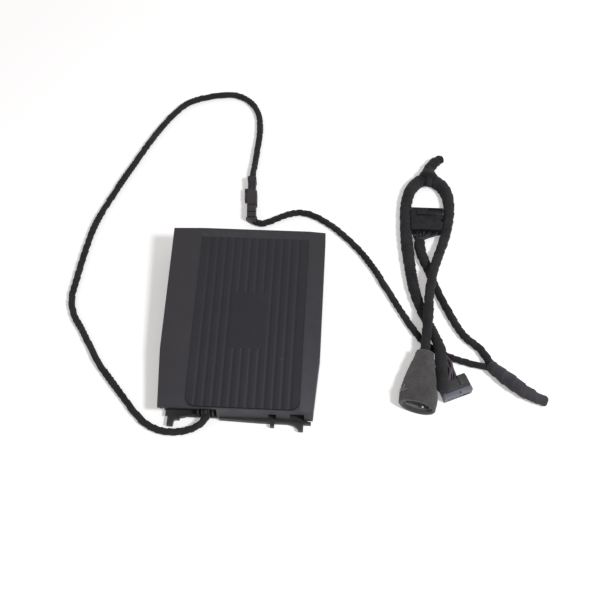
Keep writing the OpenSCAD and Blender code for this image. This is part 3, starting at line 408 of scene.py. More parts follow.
def metal(name, base, rough, brushed=0.12):
    """Metal whose gloss varies a little, as on drawn or brushed stock."""
    g = Graph(name, base, rough, Metallic=1.0)
    g.roughness(g.span(g.noise(900, 4), rough, rough + brushed, 0.3, 0.7))
    g.bump(g.noise(3000, 2), 0.00001, 0.4)
    return g.material


def board(name, base):
    """Printed board: solder mask with faint tracks under it."""
    g = Graph(name, base, 0.35, Coat_Weight=0.3)
    tracks = g.node("TexBrick")
    g.link(g.place(), tracks.inputs["Vector"])
    tracks.inputs["Scale"].default_value = 180
    line = g.span(tracks.outputs["Fac"], 0, 1)
    g.color(g.mix(line, base, toned(base, 1.8)))
    g.bump(line, 0.00005, 0.5)
    return g.material


SHELL = moulded("shell_plastic", (0.0112, 0.0106, 0.0118), 0.5, level=0.48, tint=COOL)
PAD = moulded("pad_rubber", (0.0082, 0.008, 0.0096), 0.56, grain=2000.0, wear=0.3, level=0.34,
              tint=COOL)
TRAY = moulded("tray_plastic", (0.011, 0.011, 0.0115), 0.5, wear=0.0, level=0.45)
CONNECTOR = moulded("plug_plastic", (0.0095, 0.009, 0.0108), 0.45, grain=3200.0, level=0.4, tint=COOL)
SOCKET = moulded("socket_plastic", (0.013, 0.0096, 0.0122), 0.42, grain=3200.0, level=0.4)
LATCH = moulded("latch_plastic", (0.034, 0.029, 0.026), 0.45, grain=3200.0, level=0.45)
FLAT = moulded("flat_plastic", (0.0062, 0.006, 0.0072), 0.5, grain=3200.0, level=0.2, tint=COOL)
FACE = moulded("plug_face_plastic", (0.12, 0.125, 0.115), 0.5, grain=3200.0, level=0.4)
LOCK = moulded("lock_grey", (0.095, 0.096, 0.118), 0.45, level=0.45)
NYLON = moulded("white_nylon", (0.72, 0.7, 0.64), 0.4, wear=0.0)
BLUE = moulded("component_blue", (0.03, 0.06, 0.2), 0.35)
BLACK = moulded("component_black", (0.015, 0.015, 0.015), 0.4)
TAN = moulded("component_tan", (0.5, 0.36, 0.2), 0.4, wear=0.0)
WIRE_RED = moulded("wire_sleeve", (0.35, 0.05, 0.03), 0.35, wear=0.0)
WIRE_DARK = moulded("harness_wire", (0.048, 0.033, 0.045), 0.45, wear=0.0, level=0.4)
WIRE_BLACK = moulded("flat_wire", (0.009, 0.0085, 0.0095), 0.5, wear=0.0, level=0.3)
MULTIWAY = moulded("multiway_plastic", (0.019, 0.0178, 0.0186), 0.45, grain=3200.0, level=0.42)
SCUFF = moulded("scuffed_rubber", (0.075, 0.075, 0.082), 0.7, wear=0.0, level=0.2)
THREAD_PALE = moulded("loose_thread", (0.3, 0.27, 0.27), 0.8, wear=0.0, level=0.2)
RUBBER = rubber("foot_rubber", (0.014, 0.014, 0.014))
STEEL = metal("steel", (0.52, 0.52, 0.53), 0.32)
BRIGHT = metal("bright_pin", (0.9, 0.89, 0.87), 0.12, 0.05)
BOARD = board("board_green", (0.02, 0.12, 0.05))
TAPE = cloth_tape("cloth_tape", (0.0158, 0.0151, 0.0166))
SPLICE_TAPE = cloth_tape("splice_tape", (0.041, 0.0385, 0.045))
FELT = felt("foam_felt", (0.048, 0.0445, 0.0447))

# ---------------------------------------------------------------- floor and light

FLOOR_HALF = 12.0
FLOOR_COLOR = (0.82, 0.81, 0.8)
FLOOR_LIFT = 0.3  # what the floor glows by itself, for the camera alone
WORLD_LEVEL = 0.5  # the world's light on the object; the camera sees it at 1
WORLD_COLOR = (1.0, 0.965, 0.955)
LAMP_AT = (0.97, -0.45, 1.35)
LAMP_SIZE = 0.26
LAMP_WATTS = 21.0
LAMP_COLOR = (0.93, 0.965, 1.0)


def seen_factor(tree):
    """1 for rays from the camera, or that a gloss or glass sends on, and 0 for the rest."""
    path = tree.nodes.new("ShaderNodeLightPath")
    total = None
    for name in ("Is Camera Ray", "Is Glossy Ray", "Is Transmission Ray"):
        if total is None:
            total = path.outputs[name]
            continue
        add = tree.nodes.new("ShaderNodeMath")
        add.operation = "MAXIMUM"
        tree.links.new(total, add.inputs[0])
        tree.links.new(path.outputs[name], add.inputs[1])
        total = add.outputs[0]
    return total


def make_floor():
    """A pale floor that lights the object softly and shows white where no shadow lies."""
    mat = bpy.data.materials.new("floor")
    mat.use_nodes = True
    tree = mat.node_tree
    tree.nodes.clear()
    out = tree.nodes.new("ShaderNodeOutputMaterial")
    diffuse = tree.nodes.new("ShaderNodeBsdfDiffuse")
    diffuse.inputs["Color"].default_value = (*FLOOR_COLOR, 1)
    glow = tree.nodes.new("ShaderNodeEmission")
    add = tree.nodes.new("ShaderNodeAddShader")
    lift = tree.nodes.new("ShaderNodeMath")
    lift.operation = "MULTIPLY"
    lift.inputs[1].default_value = FLOOR_LIFT
    tree.links.new(seen_factor(tree), lift.inputs[0])
    tree.links.new(lift.outputs[0], glow.inputs["Strength"])
    tree.links.new(diffuse.outputs[0], add.inputs[0])
    tree.links.new(glow.outputs[0], add.inputs[1])
    tree.links.new(add.outputs[0], out.inputs["Surface"])
    mesh = bpy.data.meshes.new("floor")
    corners = [(x * FLOOR_HALF, y * FLOOR_HALF, 0) for x, y in ((-1, -1), (1, -1), (1, 1), (-1, 1))]
    mesh.from_pydata(corners, [], [(0, 1, 2, 3)])
    mesh.materials.append(mat)
    floor = bpy.data.objects.new("floor", mesh)
    bpy.context.scene.collection.objects.link(floor)


def make_world():
    """A white world for the camera, which lights the object with less than it shows."""
    world = bpy.data.worlds.new("world")
    bpy.context.scene.world = world
    world.use_nodes = True
    tree = world.node_tree
    strength = tree.nodes.new("ShaderNodeMapRange")
    strength.inputs["To Min"].default_value = WORLD_LEVEL
    strength.inputs["To Max"].default_value = 1.0
    tree.links.new(seen_factor(tree), strength.inputs["Value"])
    background = tree.nodes["Background"]
    background.inputs["Color"].default_value = (*WORLD_COLOR, 1)
    tree.links.new(strength.outputs["Result"], background.inputs["Strength"])


def make_lamp():
    """One soft lamp at the right, turned to the middle of the frame."""
    data = bpy.data.lights.new("soft_lamp", "AREA")
    data.shape = "SQUARE"
    data.size = LAMP_SIZE
    data.energy = LAMP_WATTS
    data.color = LAMP_COLOR
    lamp = bpy.data.objects.new("soft_lamp", data)
    bpy.context.scene.collection.objects.link(lamp)
    lamp.location = LAMP_AT
    lamp.rotation_mode = "QUATERNION"
    lamp.rotation_quaternion = (-Vector(LAMP_AT)).to_track_quat("-Z", "Y")


make_floor()
make_world()
make_lamp()

# ---------------------------------------------------------------- taped cords

TAPE_STEP = 0.0006
TAPE_LIP = 0.1  # the part of a turn in which the tape's edge drops
TAPE_LAP, WIDE_LAP = 0.0006, 0.0007  # how high an edge of the tape stands
SEED_X, SEED_Y = 7.3, 3.1  # from one cord's noise to the next
SLOW_LUMPS, FAST_LUMPS = 42, 110  # noise scales along a cord, per metre
SIDE_LUMPS, SIDE_STRETCH = 0.9, 0.35
PUCKERS, PUCKERS_AROUND, PUCKER_PART = 900, 3, 0.35
PITCH_NOISE, PITCH_PART = 30, 0.14
END_PART, END_LEAST, END_DROP = 0.45, 0.06, 0.25  # how a cut end is rounded, in parts of its radius


def wrap(s, angle, pitch):
    """Height of a spirally wrapped tape, 0 to 1: it rises over each turn and drops at the tape's edge."""
    phase = (s / pitch + angle / (2 * math.pi)) % 1.0
    return phase / (1 - TAPE_LIP) if phase < 1 - TAPE_LIP else (1 - phase) / TAPE_LIP


def taped(name, route, radii, pitch, lip, sides, seed, lump=0.11):
    """A cord wound with cloth tape: laps of the tape, soft lumps where it bunches, and small puckers."""
    if isinstance(radii, float):
        radii = [radii] * len(route)
    line4 = spline([(*p, r) for p, r in zip(route, radii)], TAPE_STEP)
    line = [p.xyz for p in line4]
    shift = Vector((seed * SEED_X, seed * SEED_Y, 0))
    last = len(line) - 1

    def surface(i, s, angle):
        r = line4[i].w
        x, y = math.cos(angle), math.sin(angle)
        around = Vector((x, y, s / r * SIDE_STRETCH)) + shift
        slow = noise.noise(Vector((s * SLOW_LUMPS, seed, 3)))
        fast = noise.noise(Vector((s * FAST_LUMPS, seed, 0)))
        lumps = 0.5 * (fast + noise.noise(around * SIDE_LUMPS) + slow)
        pucker = noise.noise(Vector((x * PUCKERS_AROUND, y * PUCKERS_AROUND, s * PUCKERS)) + shift)
        turn = pitch * (1 + PITCH_PART * noise.noise(Vector((s * PITCH_NOISE, seed * 2, 5))))
        r *= 1 + lump * lumps
        r += lip * (wrap(s, angle, turn) - 0.5) + lip * PUCKER_PART * pucker
        end = min(i, last - i) * TAPE_STEP / (END_PART * r)
        if end < 1:
            r *= math.sqrt(max(END_LEAST, 1 - (1 - end) ** 2)) * END_DROP + (1 - END_DROP)
        return r

    return tube_mesh(name, line, surface, sides), line


def make_cord(name, node, route, radii, pitch, sides, seed):
    """A taped cord that stands for a CAD node, and the line that it runs along."""
    mesh, line = taped(name, route, radii, pitch, TAPE_LAP, sides, seed)
    piece = new_piece(name, mesh, TAPE, "base", "cloth_tape")
    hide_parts(node)
    return piece, line


TRUNK_MORE = [  # how much thicker the trunk's tape is wound at each point of its route
    0, 0, 0, 0, 0, 0, 0.0001, 0.0003, 0.0005, 0.0007, 0.0009, 0.0012, 0.0015, 0.0017, 0.0018, 0.0017,
    0.0014, 0.001, 0.0008, 0.001, 0.0011, 0.0006, 0.0002, 0, 0, 0.0007, 0.0007, 0.0007, 0.0007]
TRUNK_RADII = [TRUNK_R + more for more in TRUNK_MORE]
BRANCH_RADII = [0.0048, 0.0047, 0.0041] + [BRANCH_R] * 5

pedal_cord, pedal_line = make_cord(
    "pedal_cord", "pedal_lead", PEDAL_ROUTE, LEAD_R, pitch=0.0076, sides=24, seed=1)
extension_cord, extension_line = make_cord(
    "extension_cord", "extension_lead", EXTENSION_ROUTE, LEAD_R, pitch=0.0072, sides=24, seed=2)
trunk_cord, trunk_line = make_cord(
    "trunk_cord", "trunk_loop", TRUNK_ROUTE, TRUNK_RADII, pitch=0.0088, sides=30, seed=3)
branch_cord, branch_line = make_cord(
    "branch_cord", "branch_lead", BRANCH_ROUTE, BRANCH_RADII, pitch=0.0078, sides=26, seed=4)

splice_mesh, _ = taped(
    "splice_wrap", SPLICE_ROUTE, SPLICE_RADII, pitch=0.0095, lip=WIDE_LAP, sides=32, seed=5, lump=0.08)
splice_wrap = new_piece("splice_wrap", splice_mesh, SPLICE_TAPE, "base", "cloth_tape")
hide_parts("splice_sleeve")

TIE_BAND = [  # over the loop's top and on into the neck of the tail: place and radius
    (0.1562, 0.1602, 0.0046, 0.0034), (0.1561, 0.1612, 0.0072, 0.0036), (0.156, 0.1656, 0.0084, 0.0036),
    (0.1561, 0.1712, 0.0076, 0.0036), (0.1563, 0.1765, 0.0056, 0.0038), (0.1566, 0.181, 0.0044, 0.0038)]
TIE_ROOT = [  # the gathered tape where the tail leaves the loop
    (0.156, 0.1635, 0.0052, 0.0064), (0.156, 0.1672, 0.0052, 0.0086), (0.1561, 0.1708, 0.005, 0.0072),
    (0.1562, 0.1745, 0.0046, 0.0052), (0.1566, 0.1785, 0.0044, 0.0044)]
TIE_TAIL = [  # its folded free end
    (0.1563, 0.1725, 0.0044, 0.0034), (0.1578, 0.1785, 0.0042, 0.0044), (0.1612, 0.1845, 0.0042, 0.0046),
    (0.1655, 0.1888, 0.0038, 0.0042), (0.1698, 0.1915, 0.0036, 0.0034)]


def tie_wrap_mesh():
    """The tie's three parts in one mesh."""
    bm = bmesh.new()
    for k, part in enumerate((TIE_BAND, TIE_ROOT, TIE_TAIL)):
        mesh, _ = taped("tie_part", [p[:3] for p in part], [p[3] for p in part],
                        pitch=0.0058, lip=WIDE_LAP, sides=30, seed=6 + k, lump=0.1)
        bm.from_mesh(mesh)
        bpy.data.meshes.remove(mesh)
    return bm


tie_wrap = new_piece("loop_tie_wrap", tie_wrap_mesh(), TAPE, "base", "cloth_tape")
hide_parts("loop_tie")


# ---------------------------------------------------------------- refined copies of moulded CAD nodes

WELD = 1e-6
FLAT_ANGLE = math.radians(0.4)
EDGE_STEPS = 3


def flat_copy(node):
    """The CAD node's mesh, welded and with each flat face whole."""
    bm = bmesh.new()
    bm.from_mesh(frame["nodes"][node].data)
    bmesh.ops.remove_doubles(bm, verts=bm.verts, dist=WELD)
    bmesh.ops.dissolve_limit(bm, angle_limit=FLAT_ANGLE, verts=bm.verts, edges=bm.edges)
    return bm


def box_mesh(low, high, place=None):
    """A box between two corners in a frame of its own."""
    bm = bmesh.new()
    bmesh.ops.create_cube(bm, size=1)
    for v in bm.verts:
        v.co = Vector([a + (b - a) * (c + 0.5) for a, b, c in zip(low, high, v.co)])
    if place:
        bm.transform(place)
    return bm


def cut_away(piece, cutter_bm):
    """Takes the cutter's shape out of the piece's mesh."""
    mesh = bpy.data.meshes.new("cutter")
    cutter_bm.to_mesh(mesh)
    cutter_bm.free()
    cutter = bpy.data.objects.new("cutter", mesh)
    bpy.context.scene.collection.objects.link(cutter)
    cut = piece.modifiers.new("cut", "BOOLEAN")
    cut.object = cutter
    cut.operation = "DIFFERENCE"
    cut.solver = "EXACT"
    whole = piece.evaluated_get(bpy.context.evaluated_depsgraph_get())
    bm = bmesh.new()
    bm.from_mesh(whole.to_mesh())
    whole.to_mesh_clear()
    bmesh.ops.dissolve_limit(bm, angle_limit=FLAT_ANGLE, verts=bm.verts, edges=bm.edges)
    piece.modifiers.remove(cut)
    bm.to_mesh(piece.data)
    bm.free()
    piece.data.polygons.foreach_set("use_smooth", [True] * len(piece.data.polygons))
    bpy.data.objects.remove(cutter)
    bpy.data.meshes.remove(mesh)


def round_edges(piece, edge, sharp=32):
    """Rounds the edges that turn by more than sharp degrees."""
    bevel = piece.modifiers.new("round_edges", "BEVEL")
    bevel.width = edge
    bevel.segments = EDGE_STEPS
    bevel.limit_method = "ANGLE"
    bevel.angle_limit = math.radians(sharp)
    bevel.harden_normals = True
    bevel.use_clamp_overlap = True


def refined(name, node, material, slot, edge, body="base", cutters=()):
    """A copy of a CAD node with its edges rounded, which stands for it."""
    piece = new_piece(name, flat_copy(node), material, body, slot)
    for cutter in cutters:
        cut_away(piece, cutter)
    round_edges(piece, edge)
    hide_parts(node)
    return piece


# The machine plug and its sleeve, in a frame that starts at the sleeve's narrow end and runs along -Y.
PLUG_PLACE = Matrix.Translation((0.1504, -0.014, 0)) @ turned(math.radians(-8), "Z")
PLUG_MID = 0.0089
SLEEVE = [  # distance from the narrow end, half width, half height, height of the middle
    (0, 0.0074, 0.007, 0.0098), (0.004, 0.008, 0.0073, 0.0096), (0.013, 0.0106, 0.008, 0.0092),
    (0.026, 0.0138, 0.009, 0.009), (0.039, 0.0153, 0.0094, 0.0093), (0.0474, 0.0149, 0.0092, 0.0091)]
SLEEVE_WALL = 0.0028
MOUTH_SLANT, MOUTH_TILT = 0.1, 0.21
FACE_PLACE = (PLUG_PLACE @ Matrix.Translation((0, -0.0456, PLUG_MID))
              @ turned(-math.atan(MOUTH_SLANT), "Z") @ turned(-math.atan(MOUTH_TILT), "X"))
FACE_CUT = (-0.02, -0.02, -0.02), (0.02, 0, 0.02)

INLINE_PLACE = Matrix.Translation((-0.006, 0.1608, 0)) @ turned(math.radians(3.8), "Z")
SOCKET_END, SOCKET_HALF = -0.0452, 0.004
SOCKET_CUT = (-0.009, -0.033, -0.001), (-SOCKET_HALF - 0.00005, -0.0165, 0.008)
LATCH_BOX = (-0.0066, -0.0252, 0.0003), (-SOCKET_HALF + 0.0001, -0.0169, 0.0064)
BOOT_BOX = (-SOCKET_HALF + 0.0002, SOCKET_END - 0.0008, 0.0002), (SOCKET_HALF, SOCKET_END + 0.0004, 0.0084)
BOOT_SLANT = 0.0042

FLAT_NOTCH = (0.1545, 0.1272, 0.0073), (0.168, 0.1312, 0.011)
FLAT_LIP = [
    (0.1543, 0.1266, 0.0084), (0.158, 0.1256, 0.0087), (0.1625, 0.1249, 0.0087), (0.1672, 0.1248, 0.0084)]
FLAT_LIP_R = 0.0005
FLAT_RIBS = [  # one at each side, and the ridge at the wires
    ((0.1388, 0.1088, 0.0003), (0.1406, 0.1305, 0.0062)),
    ((0.166, 0.1083, 0.0003), (0.1682, 0.1196, 0.0062)),
    ((0.1422, 0.1081, 0.006), (0.1645, 0.1097, 0.0092))]

LOCK_PLACE = Matrix.Translation((0.1785, -0.0486, 0.0082)) @ turned(math.radians(24), "Z")
LOCK_WINDOW = (-0.0014, -0.001, -0.0008), (0.0014, 0.0024, 0.0008)

refined("treadle_cover", "treadle_shell", SHELL, "shell_plastic", 0.0006, "treadle")
refined("tray", "base_tray", TRAY, "tray_plastic", 0.0003)
refined("grommet", "cord_grommet", RUBBER, "foot_rubber", 0.00025)
refined("feet", "rubber_feet", RUBBER, "foot_rubber", 0.0006)
inline_plug = refined("inline_plug_body", "inline_plug", CONNECTOR, "plug_plastic", 0.00035)
inline_socket = refined("inline_socket_body", "inline_socket", SOCKET, "plug_plastic", 0.00035,
                        cutters=[box_mesh(*SOCKET_CUT, INLINE_PLACE)])
flat_connector = refined("flat_connector_body", "flat_connector", FLAT, "plug_plastic", 0.0005,
                         cutters=[box_mesh(*FLAT_NOTCH)])
machine_plug = refined("machine_plug_body", "machine_plug", FACE, "plug_plastic", 0.0003,
                       cutters=[box_mesh(*FACE_CUT, FACE_PLACE)])
multiway = refined("multiway_body", "multiway_connector", MULTIWAY, "plug_plastic", 0.0004)
multiway_lock = refined("multiway_lock_strip", "multiway_lock", LOCK, "lock_grey", 0.0003,
                        cutters=[box_mesh(*LOCK_WINDOW, LOCK_PLACE)])


def make_latch():
    """The inline connector's side latch, held against the socket."""
    piece = new_piece("inline_latch", box_mesh(*LATCH_BOX, INLINE_PLACE), LATCH, "base", "plug_plastic")
    round_edges(piece, 0.0005)
    return piece


def make_boot():
    """The slanted foot of the inline socket, where the extension lead leaves to one side."""
    bm = box_mesh(*BOOT_BOX)
    for v in bm.verts:
        if v.co.y < SOCKET_END and v.co.x > 0:
            v.co.y -= BOOT_SLANT
    bm.transform(INLINE_PLACE)
    piece = new_piece("inline_boot", bm, SOCKET, "base", "plug_plastic")
    round_edges(piece, 0.0007)
    return piece


def make_flat_details():
    """The flat connector's lip behind its notch, the ribs at its sides, and the ridge at its wires, in a
    lighter plastic than the connector's own as a painted highlight.
    """
    # painted highlight: the lighter plug plastic here, not the connector's darker one, makes the lip, ribs
    # and ridge look lit
    parts = [round_tube("lip", FLAT_LIP, FLAT_LIP_R, CONNECTOR, "plug_plastic", step=0.0006)]
    for low, high in FLAT_RIBS:
        parts.append(new_piece("rib", box_mesh(low, high), CONNECTOR, "base", "plug_plastic"))
    piece = joined("flat_connector_details", parts)
    round_edges(piece, 0.0004)
    return piece


inline_latch = make_latch()
inline_boot = make_boot()
flat_details = make_flat_details()

# ---------------------------------------------------------------- tread pad

DECK_LEN, DECK_SLOPE = 0.16, 0.1
DECK_PLACE = Matrix.Translation((0, -0.076, 0.0195)) @ turned(math.atan(DECK_SLOPE), "X")
PAD_X, PAD_HALF, PAD_CORNER = 0.0056, 0.0452, 0.0079
PAD_FROM, PAD_MARGIN, PAD_EXTRA = 0.0029, 0.009, 0.0003
PAD_LEN = DECK_LEN * math.hypot(1, DECK_SLOPE) - PAD_MARGIN + PAD_EXTRA - PAD_FROM
PAD_TOP, PAD_T = 0.0012, 0.0022
PAD_WELD = 2e-5
CORNER_STEPS, LENGTH_STEPS, RAMP_STEPS = 10, 18, 3
GROOVES, PITCH = 12, 0.00685
GROOVE_HALF, GROOVE_DEEP, GROOVE_STEPS = 0.0021, 0.0005, 5
PATCH_LOW, PATCH_HIGH, PATCH_RAMP = 0.0483, 0.0993, 0.0012
PATCH_HALF = 2.5 * PITCH
PEG_R, PEG_L, PEG_SUNK = 0.0015, 0.0031, 0.0003
PEG_X, PEG_PARTS = 5 * PITCH, (0.1, 0.5, 0.9)
NICK_X, NICK_Y, NICK_STEP, NICK_BEND, NICK_R = 0.033, 0.0447, 0.0013, 0.00008, 0.00018


def groove_x(i):
    return (i - (GROOVES - 1) / 2) * PITCH


def groove_depth(x, y):
    """How deep the grooves are there: they run out at the edges of the plain patch."""
    for i in range(GROOVES):
        off = groove_x(i)
        near = abs(x - off) / GROOVE_HALF
        if near < 1:
            deep = GROOVE_DEEP * (0.5 + 0.5 * math.cos(math.pi * near))
            if abs(off) < PATCH_HALF:
                inside = min(y - PATCH_LOW, PATCH_HIGH - y) / PATCH_RAMP
                deep *= 1 - max(0.0, min(1.0, inside))
            return deep
    return 0.0


def make_pad():
    """The ribbed pad: soft lengthwise grooves round a plain patch, and its pegs."""
    xs = [-PAD_HALF, PAD_HALF]
    for i in range(GROOVES):
        xs += [groove_x(i) + GROOVE_HALF * k / GROOVE_STEPS for k in range(-GROOVE_STEPS, GROOVE_STEPS + 1)]
    xs.sort()
    ys = [PAD_CORNER * (1 - math.cos(math.pi * k / (2 * CORNER_STEPS))) for k in range(CORNER_STEPS + 1)]
    ys += [PAD_CORNER + (PAD_LEN - PAD_CORNER) * k / LENGTH_STEPS for k in range(1, LENGTH_STEPS + 1)]
    ys += [edge + way * k * PATCH_RAMP / RAMP_STEPS for edge, way in ((PATCH_LOW, 1), (PATCH_HIGH, -1))
           for k in range(-1, RAMP_STEPS + 2)]
    ys.sort()
    bm = bmesh.new()
    rows = []
    for y in ys:
        short = max(0.0, PAD_CORNER - y)
        half = PAD_HALF - PAD_CORNER + math.sqrt(PAD_CORNER ** 2 - short ** 2)
        rows.append([bm.verts.new((max(-half, min(half, x)), y, -groove_depth(x, y))) for x in xs])
    for low, high in zip(rows, rows[1:]):
        for a, b, c, d in zip(low, low[1:], high[1:], high):
            bm.faces.new((a, b, c, d))
    bmesh.ops.remove_doubles(bm, verts=bm.verts, dist=PAD_WELD)
    rim = [e for e in bm.edges if e.is_boundary]
    skirt = bmesh.ops.extrude_edge_only(bm, edges=rim)["geom"]
    for v in skirt:
        if isinstance(v, bmesh.types.BMVert):
            v.co.z = -PAD_T
    bmesh.ops.holes_fill(bm, edges=[e for e in bm.edges if e.is_boundary])
    for x in (-PEG_X, PEG_X):
        for part in PEG_PARTS:
            bmesh.ops.create_cone(
                bm, cap_ends=True, segments=20, radius1=PEG_R, radius2=PEG_R, depth=PEG_L,
                matrix=Matrix.Translation((x, PAD_LEN * part, -PAD_T - PEG_L / 2 + PEG_SUNK)))
    bm.transform(DECK_PLACE @ Matrix.Translation((PAD_X, PAD_FROM, PAD_TOP)))
    piece = new_piece("ribbed_pad", bm, PAD, "treadle", "pad_rubber")
    round_edges(piece, 0.0004, sharp=50)
    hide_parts("tread_pad")


def make_nick():
    """A pale scuff in the pad's face."""
    route = [DECK_PLACE @ Vector((NICK_X + NICK_STEP * k, NICK_Y - NICK_BEND * k * k, PAD_TOP))
             for k in range(4)]
    round_tube("pad_nick", route, NICK_R, SCUFF, "pad_rubber", sides=8, step=0.0003, body="treadle")


make_pad()
make_nick()

# ---------------------------------------------------------------- foam sleeve

SLEEVE_SIDES, RIM_STEPS, CAVITY_STEPS = 84, 6, 9
SLEEVE_HOLE = (0.0048, 0.0044)
CAVITY_DEEP = 0.0235
FELT_LUMPS = ((0.00055, 140), (0.00035, 420), (0.0002, 1100))  # height, and noise scale per metre
RIM_LUMPS, CAVITY_LUMPS = 0.5, 0.1


def sleeve_rows():
    """Rings of the sleeve: distance, half width, half height, middle, and its shares of slant and lumps."""
    y, a, b, c = SLEEVE[-1]
    half = SLEEVE_WALL / 2
    rows = [(0.0, *SLEEVE_HOLE, SLEEVE[0][3], 0.0, 0.0)]
    rows += [(*p, p[0] / y, 1.0) for p in spline(SLEEVE, 0.0008)]
    for k in range(1, RIM_STEPS + 1):
        turn = math.pi * k / RIM_STEPS
        inward = half * (1 - math.cos(turn))
        rows.append((y + half * 0.5 * math.sin(turn), a - inward, b - inward, c, 1.0, RIM_LUMPS))
    for k in range(1, CAVITY_STEPS + 1):
        rows.append((y - CAVITY_DEEP * k / CAVITY_STEPS, a - SLEEVE_WALL, b - SLEEVE_WALL, c, 1.0,
                     CAVITY_LUMPS))
    return rows


def make_sleeve():
    """A felted sleeve: outside from the narrow end, over a rounded rim, and back down the cavity."""
    bm = bmesh.new()
    rings = []
    for y, a, b, c, slant, rough in sleeve_rows():
        ring = []
        for k in range(SLEEVE_SIDES):
            angle = 2 * math.pi * k / SLEEVE_SIDES
            x, z = a * math.cos(angle), b * math.sin(angle)
            p = Vector((x, -y + slant * (MOUTH_TILT * z - MOUTH_SLANT * x), c + z))
            lump = sum(height * noise.noise(p * scale) for height, scale in FELT_LUMPS)
            out = Vector((math.cos(angle), 0, math.sin(angle)))
            p += out * lump * rough
            p.z = max(p.z, FLOOR_GAP)
            ring.append(bm.verts.new(PLUG_PLACE @ p))
        rings.append(ring)
    for low, high in zip(rings, rings[1:]):
        for k in range(SLEEVE_SIDES):
            n = (k + 1) % SLEEVE_SIDES
            bm.faces.new((low[k], low[n], high[n], high[k]))
    bm.faces.new(rings[0])
    bm.faces.new(rings[-1])
    piece = new_piece("felt_sleeve", bm, FELT, "base", "foam_felt")
    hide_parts("foam_sleeve")
    return piece


felt_sleeve = make_sleeve()


# ---------------------------------------------------------------- wires, pins and fibres

FLAT_WIRES, FLAT_WIRE_R = 8, 0.00115
FLAT_WIRE_ROWS = [  # x, its step per wire, y, z, and how much higher each wire of a cycle lies
    (0.1429, 0.0029, 0.1085, 0.0036, 0.0018, 2), (0.1428, 0.0027, 0.105, 0.0045, 0.0008, 3),
    (0.1436, 0.0016, 0.1022, 0.0038, 0.0016, 2), (0.1452, 0.0006, 0.0995, 0.0042, 0.0005, 3),
    (0.1466, 0.0002, 0.0965, 0.0036, 0, 1)]
MULTI_WIRES, MULTI_WIRE_R, MULTI_STEPS = 6, 0.0012, 8
MULTI_TWIST, MULTI_SWING = 2.4 * math.pi, 0.0008
PINS = ((-0.0045, 0.0428), (0.0045, 0.0474))  # place across, and distance of the tip
PIN_FROM, PIN_TAPER = 0.0405, 0.0006
PIN_R, PIN_TIP_R = 0.0011, 0.0006
FIBRES = (  # place on the sleeve, and direction
    (-0.0147, -0.0362, 0.0118, 0.9), (-0.0128, -0.0352, 0.0146, 1.4),
    (-0.0122, -0.0376, 0.0153, 0.2), (-0.0146, -0.0385, 0.0125, 0.4))
FIBRE_R, FIBRE_STEP, FIBRE_PROUD = 0.00016, 0.0009, 0.0009


def flat_wires():
    """Wires that leave the whole width of the flat connector and gather in the branch lead."""
    parts = []
    for i in range(FLAT_WIRES):
        route = [(x + i * step, y, z + (i % cycle) * rise) for x, step, y, z, rise, cycle in FLAT_WIRE_ROWS]
        parts.append(round_tube(f"flat_wire_{i}", route, FLAT_WIRE_R, WIRE_BLACK, "harness_wire"))
    piece = joined("flat_connector_wires", parts)
    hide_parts("flat_wires")
    return piece


def multiway_wires():
    """Wires that leave the trunk's side and run, twisted, into the back of the multiway connector."""
    parts = []
    for i in range(MULTI_WIRES):
        start = Vector((0.1643 + i * 0.0006, -0.0155, 0.0088))
        end = Vector((0.1664 + i * 0.0017, -0.0396 + i * 0.0007, 0.0048 + (i % 3) * 0.0017))
        route = []
        for k in range(MULTI_STEPS + 1):
            t = k / MULTI_STEPS
            twist = MULTI_TWIST * t + i * math.pi / 3
            swing = Vector((math.cos(twist) * MULTI_SWING + 0.002, 0.001, math.sin(twist) * MULTI_SWING))
            route.append(start.lerp(end, t) + math.sin(math.pi * t) * swing)
        parts.append(round_tube(f"multi_wire_{i}", route, MULTI_WIRE_R, WIRE_DARK, "harness_wire"))
    piece = joined("multiway_connector_wires", parts)
    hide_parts("multiway_wires")
    return piece


def contact_pins():
    """Two round contacts with tapered tips in the machine plug's recess."""
    bm = bmesh.new()
    for x, tip in PINS:
        shank = (PIN_R, PIN_FROM, tip - PIN_FROM - PIN_TAPER)
        for end_r, start, length in (shank, (PIN_TIP_R, tip - PIN_TAPER, PIN_TAPER)):
            spot = Matrix.Translation((x, -start - length / 2, PLUG_MID)) @ turned(math.pi / 2, "X")
            bmesh.ops.create_cone(bm, cap_ends=True, segments=24, radius1=PIN_R, radius2=end_r,
                                  depth=length, matrix=PLUG_PLACE @ spot)
    bmesh.ops.remove_doubles(bm, verts=bm.verts, dist=WELD)
    piece = new_piece("contact_pins", bm, BRIGHT, "base", "bright_pin")
    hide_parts("plug_pins")
    return piece


def sleeve_threads():
    """A few pale fibres that stand off the felt near the sleeve's mouth."""
    parts = []
    for i, (x, y, z, way) in enumerate(FIBRES):
        route = []
        for k in range(6):
            s = (k - 2.5) * FIBRE_STEP
            route.append(PLUG_PLACE @ Vector((
                x + s * math.cos(way), y + s * math.sin(way) + 0.0004 * math.sin(k * 1.7 + i),
                z + FIBRE_PROUD + s * math.cos(way) * 0.7 + 0.0003 * math.sin(k * 2.3 + 2 * i))))
        parts.append(round_tube(f"thread_{i}", route, FIBRE_R, THREAD_PALE, "foam_felt",
                                sides=6, step=0.0004))
    return joined("sleeve_threads", parts)


flat_wire_bundle = flat_wires()
multiway_wire_bundle = multiway_wires()
plug_pins = contact_pins()
threads = sleeve_threads()


# ---------------------------------------------------------------- return springs

SPRING_TURNS = 6
SPRING_STEPS = 20
SPRING_CLOSE = 0.55  # how far the end turns lie closed, 0 to 1
WIRE_R = 0.0007


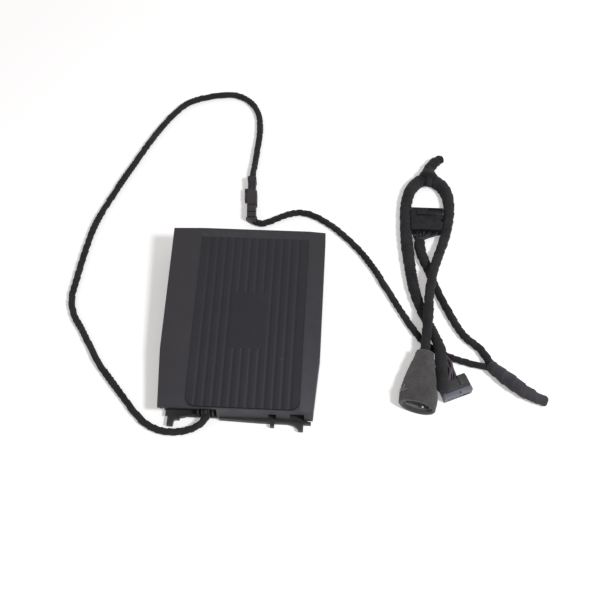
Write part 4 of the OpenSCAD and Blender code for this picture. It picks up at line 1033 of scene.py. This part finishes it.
def make_spring(name, node):
    """A coil spring with closed ends, made once at rest in the CAD spring's box."""
    low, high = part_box(node)
    middle = (low + high) / 2
    radius = (high.x - low.x) / 2 - WIRE_R
    rise = high.z - low.z - 2 * WIRE_R
    line = []
    for i in range(SPRING_TURNS * SPRING_STEPS + 1):
        t = i / (SPRING_TURNS * SPRING_STEPS)
        closed = t - math.sin(2 * math.pi * t) / (2 * math.pi) * SPRING_CLOSE
        angle = 2 * math.pi * SPRING_TURNS * t
        line.append(Vector((middle.x + radius * math.cos(angle), middle.y + radius * math.sin(angle),
                            low.z + WIRE_R + rise * closed)))
    piece = new_piece(name, plain_tube(name, line, WIRE_R), STEEL, "base", "steel")
    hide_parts(node)
    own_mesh(piece)


make_spring("left_spring", "return_spring_left")
make_spring("right_spring", "return_spring_right")

# ---------------------------------------------------------------- finishes of the CAD nodes that stay

KEPT = {
    "hinge_rod": STEEL, "rod_clips": STEEL, "bump_stops": RUBBER, "circuit_board": BOARD,
    "board_screws": STEEL, "lead_header": NYLON, "filter_capacitor": BLUE, "control_chip": BLACK,
    "power_transistor": BLACK, "resistors": TAN, "sensor_bracket": STEEL, "bracket_screws": STEEL,
    "sensor_body": BLUE, "sensor_nut": STEEL, "sensor_wires": WIRE_RED, "inner_lead": TAPE,
    "cord_clamp": TRAY, "clamp_screws": STEEL, "inner_wires": WIRE_RED, "drive_fork": NYLON,
    "fork_screws": STEEL, "sensor_shaft": STEEL, "sensor_lever": NYLON, "lever_pin": STEEL}
SOFT_FORMS = ("sensor_wires", "inner_lead", "inner_wires")  # round all over, with no edge to soften
KEPT_WELD, KEPT_FLAT, KEPT_EDGE = 0.000002, math.radians(0.5), 0.0002

for node, material in KEPT.items():
    piece = frame["nodes"][node]
    piece.data.materials.clear()
    piece.data.materials.append(material)
    if node not in SOFT_FORMS:
        weld = piece.modifiers.new("weld", "WELD")
        weld.merge_threshold = KEPT_WELD
        flats = piece.modifiers.new("flats", "DECIMATE")
        flats.decimate_type = "DISSOLVE"
        flats.angle_limit = KEPT_FLAT
        round_edges(piece, KEPT_EDGE)
